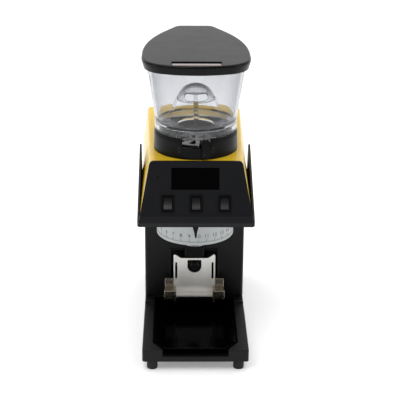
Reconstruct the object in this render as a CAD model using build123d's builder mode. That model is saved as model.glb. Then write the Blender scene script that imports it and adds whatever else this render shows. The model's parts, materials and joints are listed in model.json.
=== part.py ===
from build123d import *
import os
from math import acos, asin, atan2, cos, degrees, pi, radians, sin, tan

os.makedirs("parts", exist_ok=True)

# ---------------------------------------------------------------------------
# Driving dimensions, in millimetres.  x is to the right, y to the rear, z up.
# The origin is on the floor, in the middle of the grinder's footprint.
# ---------------------------------------------------------------------------
base_width = 123.0
tray_reach = 143.4  # front of the base to the face of the column
column_depth = 133.6  # face of the column to the rear of the hood
foot_height = 11.0
base_height = 15.0
deck_height = 168.0  # floor to the underside of the deck that carries the head
hood_height = 68.4  # underside of the deck to the top of the hood
sheet = 2.0  # wall of the hood, the column and the covers

head_front_half = 52.5  # half width of the hood's top at its front
head_rear_half = 59.8  # half width of the hood's top at its rear
head_skirt_front_half = 63.3  # half width of the hood's skirt, front and rear
head_skirt_rear_half = 65.2
panel_tilt = 27.0  # lean of the control panel, degrees from vertical
panel_bottom_half = 66.2
panel_thickness = 2.2

axis_ahead = 35.6  # burr axis ahead of the face of the column
dial_radius = 45.85
dial_height = 31.5
collar_radius = 48.7
collar_height = 23.6
neck_radius = 44.9  # hopper neck that stands in the collar
hopper_radius = 47.5
hopper_wall = 2.5
throat_radius = 21.0
lid_thickness = 11.0
hopper_rise = 76.0  # top of the collar to the rim of the hopper

module = 1.5  # gear module
drive_teeth = 60
idler_teeth = 34
pinion_teeth = 16
gear_face = 11.0
rotor_radius = 30.0  # seat of the two thin ring bearings
bearing_width = 10.0
bearing_outer = 39.0
burr_radius = 22.0  # outside of the ring burr
burr_height = 24.0
arbor_radius = 5.0
sleeve_radius = 23.15  # threaded sleeve that the dial raises and lowers
motor_radius = 28.0
motor_length = 88.0
motor_shaft_radius = 3.0

running = 0.05  # radial clearance of a running fit
slip = 0.3  # clearance beside a sliding or lifting piece
button_travel = 3.5
foot_inset_x = 11.5
foot_inset_y = 8.0

# ---------------------------------------------------------------------------
# Places worked out from them
# ---------------------------------------------------------------------------
front_y = -(tray_reach + column_depth) / 2
column_y = front_y + tray_reach
rear_y = column_y + column_depth
axis_y = column_y - axis_ahead
cover_y = rear_y - 6.0  # rear face of the column, under the hood's overhang
half_width = base_width / 2
base_top = foot_height + base_height
deck_top = deck_height + 3.0
hood_top = deck_height + hood_height
collar_top = hood_top + collar_height
axis_point = (0, axis_y)

panel_lean = tan(radians(panel_tilt))
panel_top_y = axis_y - collar_radius - 4.0  # leaves a strip of hood ahead of the collar
crease_front_z = deck_height + 12.0
crease_rear_z = deck_height + 28.0


def panel_plane(depth):
    """Plane of the tilted panel, depth below its face; local y runs up the slope."""
    lean = radians(panel_tilt)
    normal = Vector(0, -cos(lean), sin(lean))
    return Plane(Vector(0, panel_top_y, hood_top) - normal * depth, (1, 0, 0), normal)


def tube(outer, inner, bottom, top, centre=axis_point):
    """Upright ring, added to the part that is being built."""
    with BuildSketch(Plane.XY.offset(bottom)) as ring:
        with Locations(centre):
            Circle(outer)
            if inner > 0:
                Circle(inner, mode=Mode.SUBTRACT)
    extrude(ring.sketch, amount=top - bottom)


def drill(radius, bottom, top, centres):
    """Round holes along z, cut from the part that is being built."""
    with BuildSketch(Plane.XY.offset(bottom)) as holes:
        with Locations(*centres):
            Circle(radius)
    extrude(holes.sketch, amount=top - bottom, mode=Mode.SUBTRACT)


def block(x, y, z, mode=Mode.ADD):
    """Box between pairs of limits."""
    with BuildSketch(Plane.XY.offset(z[0])) as footprint:
        with Locations(((x[0] + x[1]) / 2, (y[0] + y[1]) / 2)):
            Rectangle(x[1] - x[0], y[1] - y[0])
    extrude(footprint.sketch, amount=z[1] - z[0], mode=mode)


def upright(bearing):
    """Plane through the burr axis, local x outward at a bearing and local y up."""
    turn = radians(bearing)
    return Plane(origin=(0, axis_y, 0), x_dir=(cos(turn), sin(turn), 0), z_dir=(sin(turn), -cos(turn), 0))


def ring_points(radius, count, first=0.0, centre=axis_point):
    """Places at equal angles on a circle."""
    steps = [radians(first + 360 * step / count) for step in range(count)]
    return [(centre[0] + radius * cos(a), centre[1] + radius * sin(a)) for a in steps]


# ---------------------------------------------------------------------------
# Base, feet and tray
# ---------------------------------------------------------------------------
rail_width = 12.0
lip_height = 6.3  # front lip above the underside of the base
corner_half = half_width - 23.5  # where the tray's cut corners meet the lip
corner_setback = 17.0
tray_floor_z = foot_height + 3.3
tray_wall = 1.6
tray_rear_y = column_y - 3.6
floor_half = half_width - 26.7
ramp_y = front_y + 29.8


def tray_outline(side, front, rear, corner):
    """Tray plan: a rectangle with its two front corners cut off."""
    with BuildLine() as outline:
        Polyline(
            (-corner, front), (corner, front), (side, front + corner_setback), (side, rear),
            (-side, rear), (-side, front + corner_setback), close=True,
        )
    make_face(outline.edges())


rail_half = half_width - rail_width
with BuildPart() as base_frame:
    block((-half_width, half_width), (front_y, cover_y), (foot_height, base_top))
    fillet(base_frame.edges().filter_by(Axis.Z), radius=3.0)
    fillet(base_frame.faces().sort_by(Axis.Z)[-1].edges(), radius=1.2)
    with BuildSketch(Plane.XY.offset(foot_height + 2.0)):
        tray_outline(rail_half, front_y + 3.0, column_y, corner_half)
    extrude(amount=base_height, mode=Mode.SUBTRACT)
    block((-corner_half, corner_half), (front_y - 1, front_y + 3.5),
          (foot_height + lip_height, base_top + 1), Mode.SUBTRACT)
    block((-half_width + 6, half_width - 6), (column_y + 6, cover_y - 6),
          (foot_height + 2.5, base_top + 1), Mode.SUBTRACT)
    for side in (-1, 1):
        notch = sorted((side * (rail_half - 1), side * (half_width + 1)))
        block(notch, (column_y - 38.2, column_y - 17.5), (base_top - 2.2, base_top + 1), Mode.SUBTRACT)

foot_spots = [
    (side * (half_width - foot_inset_x), y)
    for side in (-1, 1)
    for y in (front_y + foot_inset_y, cover_y - foot_inset_y)
]
with BuildPart() as rubber_feet:
    with BuildSketch(Plane.XY):
        with Locations(*foot_spots):
            Circle(6.2)
    extrude(amount=foot_height)
    fillet(rubber_feet.edges().group_by(Axis.Z)[0], radius=1.0)
    drill(3.4, 0, 5.0, foot_spots)
    drill(1.7, 4.0, foot_height + 1, foot_spots)

with BuildPart() as foot_screws:
    with BuildSketch(Plane.XY.offset(2.6)):
        with Locations(*foot_spots):
            Circle(3.1)
    extrude(amount=2.4)
    with BuildSketch(Plane.XY.offset(4.8)):
        with Locations(*foot_spots):
            Circle(1.6)
    extrude(amount=foot_height - 4.8)

with BuildPart() as drip_tray:
    with BuildSketch(Plane.XY.offset(tray_floor_z - tray_wall + 0.4)):
        tray_outline(floor_half + 1.0, ramp_y - 1.0, tray_rear_y - 2.0, floor_half - 5)
    with BuildSketch(Plane.XY.offset(base_top - 0.6)):
        tray_outline(rail_half - slip, front_y + 3.4, tray_rear_y, corner_half - slip)
    loft(ruled=True)
    with BuildSketch(Plane.XY.offset(tray_floor_z)):
        tray_outline(floor_half, ramp_y, tray_rear_y - 4.0, floor_half - 6)
    with BuildSketch(Plane.XY.offset(base_top - 0.6)):
        tray_outline(rail_half - slip - tray_wall, front_y + 5.2, tray_rear_y - tray_wall, corner_half - slip - 1.2)
    loft(ruled=True, mode=Mode.SUBTRACT)
    with BuildSketch(Plane.YZ.offset(-half_width)):
        with BuildLine():
            Polyline(
                (front_y, foot_height + lip_height - 0.3), (front_y + 6.5, foot_height + lip_height + 0.2),
                (front_y + 22, base_top), (front_y, base_top), close=True,
            )
        make_face()
    extrude(amount=base_width, mode=Mode.SUBTRACT)

# ---------------------------------------------------------------------------
# Column, rear cover, deck
# ---------------------------------------------------------------------------
recess_half = 28.7
recess_bottom = 40.0
recess_top = 89.5
recess_depth = 12.0
frame_rib = 2.0
dial_top = deck_height - 6.5
dial_bottom = dial_top - dial_height

with BuildPart() as column_shell:
    block((-half_width, half_width), (column_y, cover_y - sheet), (base_top, deck_height))
    fillet(column_shell.edges().filter_by(Axis.Z).group_by(Axis.Y)[0], radius=3.0)
    block((-half_width + sheet, half_width - sheet), (column_y + sheet, cover_y),
          (base_top - 1, deck_height + 1), Mode.SUBTRACT)
    recess_rim = recess_half + frame_rib
    block((-recess_rim, recess_rim), (column_y - 1.2, column_y + recess_depth + sheet),
          (recess_bottom - frame_rib, recess_top + frame_rib))
    block((-recess_half, recess_half), (column_y - 2, column_y + recess_depth),
          (recess_bottom, recess_top), Mode.SUBTRACT)
    drill(dial_radius + 1.5, dial_bottom - 1.5, deck_height + 1, [axis_point])
    for side in (-1, 1):
        flange = sorted((side * (half_width - sheet), side * (half_width - 12)))
        block(flange, (cover_y - 2 * sheet, cover_y - sheet), (base_top, deck_height))

inlet_half_x = 13.9
inlet_half_z = 10.2
inlet_z = base_top + 22.0
vent_slots = 9
with BuildPart() as rear_cover:
    block((-half_width, half_width), (cover_y - sheet, cover_y), (base_top, deck_height))
    with BuildSketch(Plane.XZ.offset(-cover_y)):
        with Locations((0, inlet_z)):
            Rectangle(2 * inlet_half_x, 2 * inlet_half_z)
        with Locations((0, base_top + 0.68 * (deck_height - base_top))):
            with GridLocations(46, 6.5, 2, vent_slots):
                SlotOverall(36, 2.6)
    extrude(amount=sheet * 2, both=True, mode=Mode.SUBTRACT)


def hood_half(y, z):
    """Half width of the hood's outside at a height and a depth."""
    share = (y - panel_top_y) / (rear_y - panel_top_y)
    top = head_front_half + share * (head_rear_half - head_front_half)
    skirt = head_skirt_front_half + share * (head_skirt_rear_half - head_skirt_front_half)
    crease = crease_front_z + share * (crease_rear_z - crease_front_z)
    rise = max(0.0, min(1.0, (z - crease) / (hood_top - crease)))
    return skirt + rise * (top - skirt)


def hood_section(y, wall):
    """Section of the head across the grinder, pulled in by a wall."""
    top = hood_half(y, hood_top) - wall
    skirt = hood_half(y, deck_height) - wall
    share = (y - panel_top_y) / (rear_y - panel_top_y)
    crease = crease_front_z + share * (crease_rear_z - crease_front_z)
    floor = deck_height if wall == 0 else deck_height - 5
    ceiling = hood_top - wall
    with BuildLine() as outline:
        Polyline(
            (-skirt, floor), (-skirt, crease), (-top, ceiling),
            (top, ceiling), (skirt, crease), (skirt, floor), close=True,
        )
    make_face(outline.edges())


face_length = hood_height / cos(radians(panel_tilt)) - 15.0
nose_drop = 14.0
hood_front_y = panel_top_y - 36.0
slope_run = panel_thickness / cos(radians(panel_tilt))
bend_y = panel_top_y - face_length * sin(radians(panel_tilt))
bend_z = hood_top - face_length * cos(radians(panel_tilt))
nose_y = bend_y - 1.6
nose_z = bend_z - nose_drop
nose_back_y = bend_y + 7.0


def clear_for_panel():
    """Cuts the hood back to the rear of the panel's plate and nose."""
    with BuildSketch(Plane.YZ.offset(-100)) as ahead:
        with BuildLine():
            Polyline(
                (panel_top_y + slope_run + 10 * panel_lean, hood_top + 10), (bend_y + slope_run, bend_z),
                (nose_back_y, bend_z - 2.0), (nose_back_y, deck_height - 10),
                (panel_top_y - 120, deck_height - 10), (panel_top_y - 120, hood_top + 10), close=True,
            )
        make_face()
    extrude(ahead.sketch, amount=200, mode=Mode.SUBTRACT)


cap_radius = collar_radius - 4.7
with BuildPart() as hood_shell:
    for section_y in (hood_front_y, rear_y):
        with BuildSketch(Plane.XZ.offset(-section_y)):
            hood_section(section_y, 0)
    loft(ruled=True)
    long_edges = hood_shell.edges().filter_by(lambda e: e.center().Z > hood_top - 0.01 and e.length > 150)
    fillet(long_edges, radius=5.0)
    fillet(hood_shell.faces().sort_by(Axis.Y)[-1].edges().filter_by(lambda e: e.center().Z > deck_height + 1),
           radius=4.0)
    for section_y in (hood_front_y - 1, rear_y - sheet):
        with BuildSketch(Plane.XZ.offset(-section_y)):
            hood_section(section_y, sheet)
    loft(ruled=True, mode=Mode.SUBTRACT)
    clear_for_panel()
    drill(cap_radius + slip, hood_top - 5, hood_top + 5, [axis_point])

hub_radius = 27.0
motor_axis_y = axis_y + module * (drive_teeth / 2 + idler_teeth + pinion_teeth / 2)
idler_y = axis_y + module * (drive_teeth + idler_teeth) / 2
motor_point = (0, motor_axis_y)
idler_point = (0, idler_y)
deck_front_y = panel_top_y - 20.0
hub_bore = hub_radius + 2 * running
motor_bolts = ring_points(20.0, 4, 45, motor_point)

with BuildPart() as deck_plate:
    with BuildSketch(Plane.XY.offset(deck_height)):
        with BuildLine():
            front_half = hood_half(deck_front_y, deck_height) - sheet - 0.1
            rear_half = hood_half(rear_y, deck_height) - sheet - 0.1
            Polyline(
                (-front_half, deck_front_y), (front_half, deck_front_y),
                (rear_half, rear_y - sheet - 0.1), (-rear_half, rear_y - sheet - 0.1), close=True,
            )
        make_face()
    extrude(amount=deck_top - deck_height)
    drill(hub_bore, deck_height - 1, deck_top + 1, [axis_point])
    drill(10.0, deck_height - 1, deck_top + 1, [motor_point])
    drill(1.7, deck_height - 1, deck_top + 1, motor_bolts)

# ---------------------------------------------------------------------------
# Side cheeks
# ---------------------------------------------------------------------------
cheek_gap = 1.1
cheek_thickness = 2.2
cheek_apex_y = column_y + 9.0
cheek_apex_z = hood_top - 9.0
cheek_front_y = panel_top_y - 20.5
cheek_inner = head_skirt_front_half + cheek_gap
cheek_bolts = [(half_width - 7.5, axis_y - 40), (half_width - 7.5, axis_y + 20)]


def side_cheek(side):
    """Upright wing plate beside the hood, with a foot flange under the deck."""
    with BuildPart() as cheek:
        near = cheek_inner if side > 0 else -cheek_inner - cheek_thickness
        with BuildSketch(Plane.YZ.offset(near)):
            with BuildLine():
                Polyline(
                    (cheek_front_y, deck_height - cheek_thickness), (cheek_front_y, deck_height + 5),
                    (cheek_apex_y, cheek_apex_z), (cheek_apex_y + 24, deck_height - cheek_thickness),
                    close=True,
                )
            make_face()
        extrude(amount=cheek_thickness)
        fillet(cheek.edges().filter_by(Axis.X).sort_by(Axis.Z)[-1], radius=5.0)
        foot = sorted((side * (half_width - 13), side * (cheek_inner + 0.2)))
        block(foot, (axis_y - 50, column_y - 2), (deck_height - cheek_thickness, deck_height))
        drill(1.7, deck_height - 5, deck_height + 1, [(side * x, y) for x, y in cheek_bolts])
    return cheek


side_cheek_left = side_cheek(-1)
side_cheek_right = side_cheek(1)

# ---------------------------------------------------------------------------
# Control panel with display and switches
# ---------------------------------------------------------------------------
display_centre = (-1.0, -19.8)
display_size = (54.4, 25.0)
switch_pitch = 32.0
switch_row = -48.0
bezel_size = (15.0, 20.5)
switch_hole = (13.0, 18.6)
sensor_spot = (-43.4, -18.3)


def panel_profile():
    """Side view of the panel: tilted plate, solid rounded nose below it."""
    with BuildLine() as outline:
        Polyline(
            (panel_top_y, hood_top), (bend_y, bend_z), (nose_y, nose_z + 4.5), (nose_y + 2.2, nose_z),
            (nose_back_y, nose_z), (nose_back_y, bend_z - 4.0), (bend_y + slope_run + 0.6, bend_z - 2.0),
            (bend_y + slope_run, bend_z), (panel_top_y + slope_run, hood_top), close=True,
        )
    make_face(outline.edges())


def panel_front():
    """Front view of the panel: a trapezoid."""
    with BuildLine() as outline:
        Polyline(
            (-panel_bottom_half, nose_z - 1), (panel_bottom_half, nose_z - 1),
            (head_front_half, hood_top), (-head_front_half, hood_top), close=True,
        )
    make_face(outline.edges())


with BuildPart() as control_panel:
    with BuildSketch(Plane.YZ):
        panel_profile()
    extrude(amount=100, both=True)
    with BuildSketch(Plane.XZ.offset(-panel_top_y + 60)):
        panel_front()
    extrude(amount=-200, mode=Mode.INTERSECT)
    bend_edges = control_panel.edges().filter_by(Axis.X).filter_by(
        lambda e: abs(e.center().Y - bend_y) < 0.1 or abs(e.center().Z - nose_z - 4.5) < 0.1)
    fillet(bend_edges, radius=6.0)
    lower_corners = control_panel.edges().filter_by(
        lambda e: abs(e.center().X) > panel_bottom_half - 2 and e.center().Z < nose_z + 0.5 and e.length > 3)
    fillet(lower_corners, radius=1.8)
    fillet(control_panel.edges().filter_by(lambda e: abs(abs(e.center().X) - head_front_half) < 1.0
                                           and e.center().Z > hood_top - 1).filter_by(Axis.Y), radius=5.0)
    with BuildSketch(panel_plane(0)):
        with Locations(display_centre):
            Rectangle(*display_size)
        with Locations((0, switch_row)):
            with GridLocations(switch_pitch, 1, 3, 1):
                Rectangle(*switch_hole)
        with Locations(sensor_spot):
            Circle(0.8)
    extrude(amount=-panel_thickness * 2, mode=Mode.SUBTRACT)

with BuildPart() as display_window:
    with BuildSketch(panel_plane(0.4)):
        with Locations(display_centre):
            Rectangle(display_size[0] - 0.3, display_size[1] - 0.3)
    extrude(amount=-1.6)

with BuildPart() as display_module:
    with BuildSketch(panel_plane(panel_thickness + 0.1)):
        with Locations(display_centre):
            Rectangle(display_size[0] + 5, display_size[1] + 6)
    extrude(amount=-4.0)

with BuildPart() as control_board:
    with BuildSketch(panel_plane(panel_thickness + 6.0)):
        with Locations((0, display_centre[1] - 1)):
            Rectangle(84, 30)
        with Locations((0, display_centre[1] - 1)):
            with GridLocations(78, 24, 2, 2):
                Circle(1.6, mode=Mode.SUBTRACT)
    extrude(amount=-1.6)
    with BuildSketch(panel_plane(panel_thickness + 7.6)):
        with Locations((-18, display_centre[1])):
            Rectangle(14, 14)
        with Locations((14, display_centre[1] + 4)):
            Rectangle(20, 6)
    extrude(amount=-2.0)

rocker_width = 9.6
rocker_length = 14.6
rocker_pivot_depth = 1.5
rocker_tilt = 7.0
bezel_proud = 1.4
switch_depth = 15.0


def switch_housing(x):
    """Bezel and body of one rocker switch, open where the rocker sits."""
    with BuildPart() as housing:
        with BuildSketch(panel_plane(0)) as bezel:
            with Locations((x, switch_row)):
                RectangleRounded(*bezel_size, 1.2)
        extrude(bezel.sketch, amount=bezel_proud)
        outer_face = housing.faces().sort_by(Axis(panel_plane(0).origin, panel_plane(0).z_dir))[-1]
        fillet(outer_face.edges(), radius=0.5)
        with BuildSketch(panel_plane(0)) as body:
            with Locations((x, switch_row)):
                Rectangle(switch_hole[0] - 0.3, switch_hole[1] - 0.3)
        extrude(body.sketch, amount=-switch_depth)
        with BuildSketch(panel_plane(-bezel_proud - 1)) as mouth:
            with Locations((x, switch_row)):
                Rectangle(rocker_width + 2 * slip, rocker_length + 4 * slip)
        extrude(mouth.sketch, amount=-11.0, mode=Mode.SUBTRACT)
    return housing


def switch_rocker(x):
    """Hollowed rocker cap, tipped with its upper end pressed in."""
    with BuildPart() as rocker:
        with BuildSketch(Plane.YZ) as side_view:
            with BuildLine() as outline:
                half = rocker_length / 2
                top_left = (-half, 1.9)
                top_right = (half, 1.9)
                crown = ThreePointArc(top_left, (0, 0.7), top_right)
                Polyline(top_right, (half - 0.6, -2.4), (2.6, -4.4), (-2.6, -4.4), (-half + 0.6, -2.4), top_left)
            make_face(outline.edges())
        extrude(side_view.sketch, amount=rocker_width / 2, both=True)
        fillet(rocker.edges().filter_by(Axis.X).group_by(Axis.Z)[-1], radius=0.5)
    centre = panel_plane(rocker_pivot_depth)
    place = centre.location * Pos(x, switch_row, 0) * Rot(-rocker_tilt, 0, 0)
    rocker.part = place * rocker.part
    return rocker


switch_names = ("left", "middle", "right")
switch_places = (-switch_pitch, 0.0, switch_pitch)
switch_housings = [switch_housing(x) for x in switch_places]
switch_rockers = [switch_rocker(x) for x in switch_places]

# Pointer that hangs from the head in front of the dial.
pointer_y = axis_y - dial_radius - 1.6
pointer_thickness = 1.8
pointer_root_half = 9.0
pointer_tip_z = deck_height - 27.3
with BuildPart() as dial_pointer:
    with BuildSketch(Plane.XZ.offset(-pointer_y)):
        with BuildLine():
            left = ThreePointArc((-pointer_root_half, deck_height), (-3.0, deck_height - 15.0), (-0.5, pointer_tip_z))
            Line(left @ 1, (0.5, pointer_tip_z))
            right = ThreePointArc((0.5, pointer_tip_z), (3.0, deck_height - 15.0), (pointer_root_half, deck_height))
            Line(right @ 1, left @ 0)
        make_face()
    extrude(amount=pointer_thickness)
    block((-pointer_root_half, pointer_root_half), (pointer_y - pointer_thickness, pointer_y + 12),
          (deck_height - 1.6, deck_height))

# ---------------------------------------------------------------------------
# Gear train and its case
# ---------------------------------------------------------------------------
pressure_angle = 20.0
backlash = 0.16
case_floor = 3.0
gear_bottom = deck_top + 6.5
gear_top = gear_bottom + gear_face
case_top = gear_top + 1.5
case_wall = 2.0
gear_room = 1.2
cover_top = case_top + 3.0


def gear_profile(teeth, centre, phase, bore):
    """Involute spur gear outline with a bore, a tooth centred on the phase angle."""
    pitch = module * teeth / 2
    base = pitch * cos(radians(pressure_angle))
    root = pitch - 1.25 * module
    tip = pitch + module
    half_pitch_angle = (pi * module / 2 - backlash) / (2 * pitch)
    involute_at_pitch = tan(radians(pressure_angle)) - radians(pressure_angle)

    def flank_angle(radius):
        if radius <= base:
            return half_pitch_angle + involute_at_pitch
        pressure = acos(base / radius)
        return half_pitch_angle + involute_at_pitch - (tan(pressure) - pressure)

    stations = [root, max(root, base) + 0.01, (max(root, base) + tip) / 2, tip]
    points = []
    for tooth in range(teeth):
        middle = radians(phase) + 2 * pi * tooth / teeth
        for radius in stations:
            points.append((radius, middle - flank_angle(radius)))
        for radius in reversed(stations):
            points.append((radius, middle + flank_angle(radius)))
    with BuildLine() as outline:
        Polyline(*[(centre[0] + r * cos(a), centre[1] + r * sin(a)) for r, a in points], close=True)
    make_face(outline.edges())
    with Locations(centre):
        Circle(bore, mode=Mode.SUBTRACT)


def train_outline(extra):
    """Plan of the gear train's case: the hull of three circles."""
    tips = (
        (axis_point, module * (drive_teeth / 2 + 1)),
        (idler_point, module * (idler_teeth / 2 + 1)),
        (motor_point, module * (pinion_teeth / 2 + 1)),
    )
    circles = []
    for centre, tip in tips:
        with BuildSketch(mode=Mode.PRIVATE) as disc:
            with Locations(centre):
                Circle(tip + gear_room + extra)
        circles.append(disc.sketch)
    make_hull([edge for disc in circles for edge in disc.edges()])


train_rooms = [module * (teeth / 2 + 1) + gear_room + case_wall for teeth in (drive_teeth, idler_teeth)]
side_slope = asin((train_rooms[0] - train_rooms[1]) / (idler_y - axis_y))
rear_bolt_reach = 42.0
rear_bolt_x = (train_rooms[0] - rear_bolt_reach * sin(side_slope)) / cos(side_slope) + 1.0
front_bolt_reach = (train_rooms[0] + 2.0) * cos(radians(45))
case_bolts = [
    (side * x, axis_y + y)
    for side in (-1, 1)
    for x, y in ((front_bolt_reach, -front_bolt_reach), (rear_bolt_x, rear_bolt_reach))
]

with BuildPart() as gearbox_case:
    with BuildSketch(Plane.XY.offset(deck_top)):
        train_outline(case_wall)
        with Locations(*case_bolts):
            Circle(4.0)
    extrude(amount=case_top - deck_top)
    with BuildSketch(Plane.XY.offset(deck_top + case_floor)):
        train_outline(0)
    extrude(amount=case_top, mode=Mode.SUBTRACT)
    drill(hub_radius + 4.0, deck_top - 1, deck_top + case_floor + 1, [axis_point])
    drill(10.0, deck_top - 1, deck_top + case_floor + 1, [motor_point])
    drill(1.7, deck_top - 1, deck_top + case_floor + 1, motor_bolts)
    drill(1.3, deck_top - 1, case_top + 1, case_bolts)
    tube(10.0, 0, deck_top + 0.5, gear_bottom - 0.6, idler_point)
    drill(4.0, deck_top - 1, gear_bottom, [idler_point])

pin_radius = 4.0
with BuildPart() as idler_pin:
    tube(pin_radius, 0, deck_top, gear_top + 1.2, idler_point)

with BuildPart() as idler_gear:
    with BuildSketch(Plane.XY.offset(gear_bottom)):
        gear_profile(idler_teeth, idler_point, -90 + 180 / idler_teeth, pin_radius + running)
        with Locations(*ring_points(15.0, 6, 0, idler_point)):
            Circle(4.5, mode=Mode.SUBTRACT)
    extrude(amount=gear_face)

with BuildPart() as motor_pinion:
    with BuildSketch(Plane.XY.offset(gear_bottom)):
        gear_profile(pinion_teeth, motor_point, -90, motor_shaft_radius)
    extrude(amount=gear_face)

with BuildPart() as drive_gear:
    with BuildSketch(Plane.XY.offset(gear_bottom)):
        gear_profile(drive_teeth, axis_point, 90, burr_radius + 1.0)
    extrude(amount=gear_face)
    with BuildSketch(Plane.XY.offset(gear_top - 3.0)):
        with Locations(axis_point):
            Circle(module * (drive_teeth / 2 - 1.25) - 3.0)
            Circle(rotor_radius + 5.5, mode=Mode.SUBTRACT)
    extrude(amount=5.0, mode=Mode.SUBTRACT)
    gear_bolts = ring_points(27.0, 4, 45)
    drill(1.7, gear_bottom - 1, gear_top + 1, gear_bolts)

with BuildPart() as gearbox_cover:
    with BuildSketch(Plane.XY.offset(case_top)):
        train_outline(case_wall)
        with Locations(*case_bolts):
            Circle(4.0)
    extrude(amount=cover_top - case_top)
    drill(bearing_outer, case_top - 1, cover_top + 1, [axis_point])
    drill(1.7, case_top - 1, cover_top + 1, case_bolts)

with BuildPart() as gearbox_screws:
    with BuildSketch(Plane.XY.offset(cover_top)):
        with Locations(*case_bolts):
            Circle(3.0)
            RegularPolygon(1.4, 6, mode=Mode.SUBTRACT)
    extrude(amount=2.4)
    with BuildSketch(Plane.XY.offset(deck_top + 4)):
        with Locations(*case_bolts):
            Circle(1.3)
    extrude(amount=cover_top - deck_top - 4)
    with BuildSketch(Plane.XY.offset(deck_top + case_floor)):
        with Locations(*motor_bolts):
            Circle(2.8)
            RegularPolygon(1.3, 6, mode=Mode.SUBTRACT)
    extrude(amount=1.6)
    with BuildSketch(Plane.XY.offset(deck_height - 5.5)):
        with Locations(*motor_bolts):
            Circle(1.3)
    extrude(amount=deck_top + case_floor - deck_height + 5.5)

# ---------------------------------------------------------------------------
# Motor
# ---------------------------------------------------------------------------
motor_top = deck_height
motor_bottom = motor_top - motor_length
with BuildPart() as motor_case:
    tube(motor_radius, 0, motor_bottom, motor_top, motor_point)
    fillet(motor_case.edges().group_by(Axis.Z)[0], radius=3.0)
    tube(9.9, 0, motor_top, motor_top + 4.0, motor_point)
    tube(8.0, 0, motor_bottom - 5.0, motor_bottom, motor_point)
    drill(motor_shaft_radius + running, motor_bottom + 6, motor_top + 5, [motor_point])
    drill(1.3, motor_top - 6, motor_top + 1, motor_bolts)

with BuildPart() as motor_shaft:
    tube(motor_shaft_radius, 0, motor_bottom + 6.5, gear_top + 0.8, motor_point)

# ---------------------------------------------------------------------------
# Burr chamber: rotor with the ring burr, bearings, housing and cap
# ---------------------------------------------------------------------------
cap_thickness = 4.4
housing_top = hood_top - cap_thickness
rotor_top = housing_top - 6.0
burr_bottom = gear_top + 4.0
burr_top = burr_bottom + burr_height
burr_gap = 0.9
cone_foot_radius = 18.0
cone_head_radius = 8.5

with BuildPart() as ring_burr_holder:
    tube(rotor_radius + 3.0, burr_radius - 1.5, gear_top, gear_top + 2.2)
    tube(rotor_radius, burr_radius - 1.5, gear_top + 2.2, burr_bottom)
    tube(rotor_radius, burr_radius, burr_bottom, rotor_top)
    drill(1.3, gear_top - 1, gear_top + 2.2, gear_bolts)

with BuildPart() as gear_screws:
    with BuildSketch(Plane.XY.offset(gear_bottom - 1.8)):
        with Locations(*gear_bolts):
            Circle(2.6)
            RegularPolygon(1.2, 6, mode=Mode.SUBTRACT)
    extrude(amount=1.8)
    with BuildSketch(Plane.XY.offset(gear_bottom)):
        with Locations(*gear_bolts):
            Circle(1.3)
    extrude(amount=gear_face + 2.0)


def turned(points):
    """Solid of revolution about the burr axis from (radius, height) points."""
    with BuildSketch(Plane.XZ.offset(-axis_y)) as half:
        with BuildLine() as outline:
            Polyline(*points, close=True)
        make_face(outline.edges())
    revolve(half.sketch, axis=Axis((0, axis_y, 0), (0, 0, 1)))


with BuildPart() as ring_burr:
    turned([
        (burr_radius, burr_bottom), (burr_radius, burr_top), (burr_radius - 3.0, burr_top),
        (cone_foot_radius + burr_gap - 1.6, burr_bottom + 7), (cone_foot_radius + burr_gap, burr_bottom),
    ])
    with BuildSketch(Plane.XY.offset(burr_bottom + 9)):
        with Locations(*ring_points(cone_foot_radius + 0.2, 12)):
            Circle(1.3)
    extrude(amount=burr_height, mode=Mode.SUBTRACT)

with BuildPart() as cone_burr:
    turned([
        (arbor_radius, burr_bottom), (cone_foot_radius, burr_bottom),
        (cone_foot_radius - 1.6, burr_bottom + 7), (cone_head_radius, burr_top), (arbor_radius, burr_top),
    ])
    cutter_plane = Plane(origin=(0, axis_y, burr_bottom + 3), x_dir=(1, 0, 0), z_dir=(0, 0, 1))
    for step in range(10):
        turn = cutter_plane.rotated((0, 0, 36 * step))
        with BuildSketch(turn) as groove:
            with Locations((13.6, 0)):
                Rectangle(8.0, 2.0)
        extrude(groove.sketch, amount=burr_height, taper=0, mode=Mode.SUBTRACT)

bearing_seats = (gear_top + 3.2, rotor_top - bearing_width - 1.5)


def ring_bearing(bottom):
    """Thin ring bearing, its balls left as one filled groove."""
    with BuildPart() as bearing:
        turned([
            (rotor_radius + running, bottom), (bearing_outer, bottom), (bearing_outer, bottom + bearing_width),
            (rotor_radius + running, bottom + bearing_width),
        ])
        middle = (rotor_radius + bearing_outer) / 2
        for level in (bottom - 1, bottom + bearing_width - 1):
            with BuildSketch(Plane.XY.offset(level)) as gap:
                with Locations(axis_point):
                    Circle(middle + 1.2)
                    Circle(middle - 1.2, mode=Mode.SUBTRACT)
            extrude(gap.sketch, amount=2, mode=Mode.SUBTRACT)
    return bearing


rotor_bearing_lower = ring_bearing(bearing_seats[0])
rotor_bearing_upper = ring_bearing(bearing_seats[1])

housing_wall = 4.6
housing_bolts = ring_points(bearing_outer + housing_wall + 2.4, 4, 45)
cap_bolts = ring_points(bearing_outer + 2.4, 4, 0)
with BuildPart() as burr_housing:
    tube(bearing_outer + housing_wall, bearing_outer, cover_top, housing_top)
    tube(bearing_outer + housing_wall + 4.8, bearing_outer, cover_top, cover_top + 3.0)
    tube(bearing_outer + 0.2, rotor_radius + 4.5, bearing_seats[0] + bearing_width, bearing_seats[1])
    drill(1.7, cover_top - 1, cover_top + 4, housing_bolts)
    drill(1.1, housing_top - 10, housing_top + 1, cap_bolts)

with BuildPart() as throat_cap:
    tube(cap_radius, throat_radius, housing_top, hood_top)
    tube(throat_radius + 2.0, throat_radius, housing_top - 2.5, housing_top)
    drill(1.4, housing_top - 1, hood_top + 1, cap_bolts)

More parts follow.
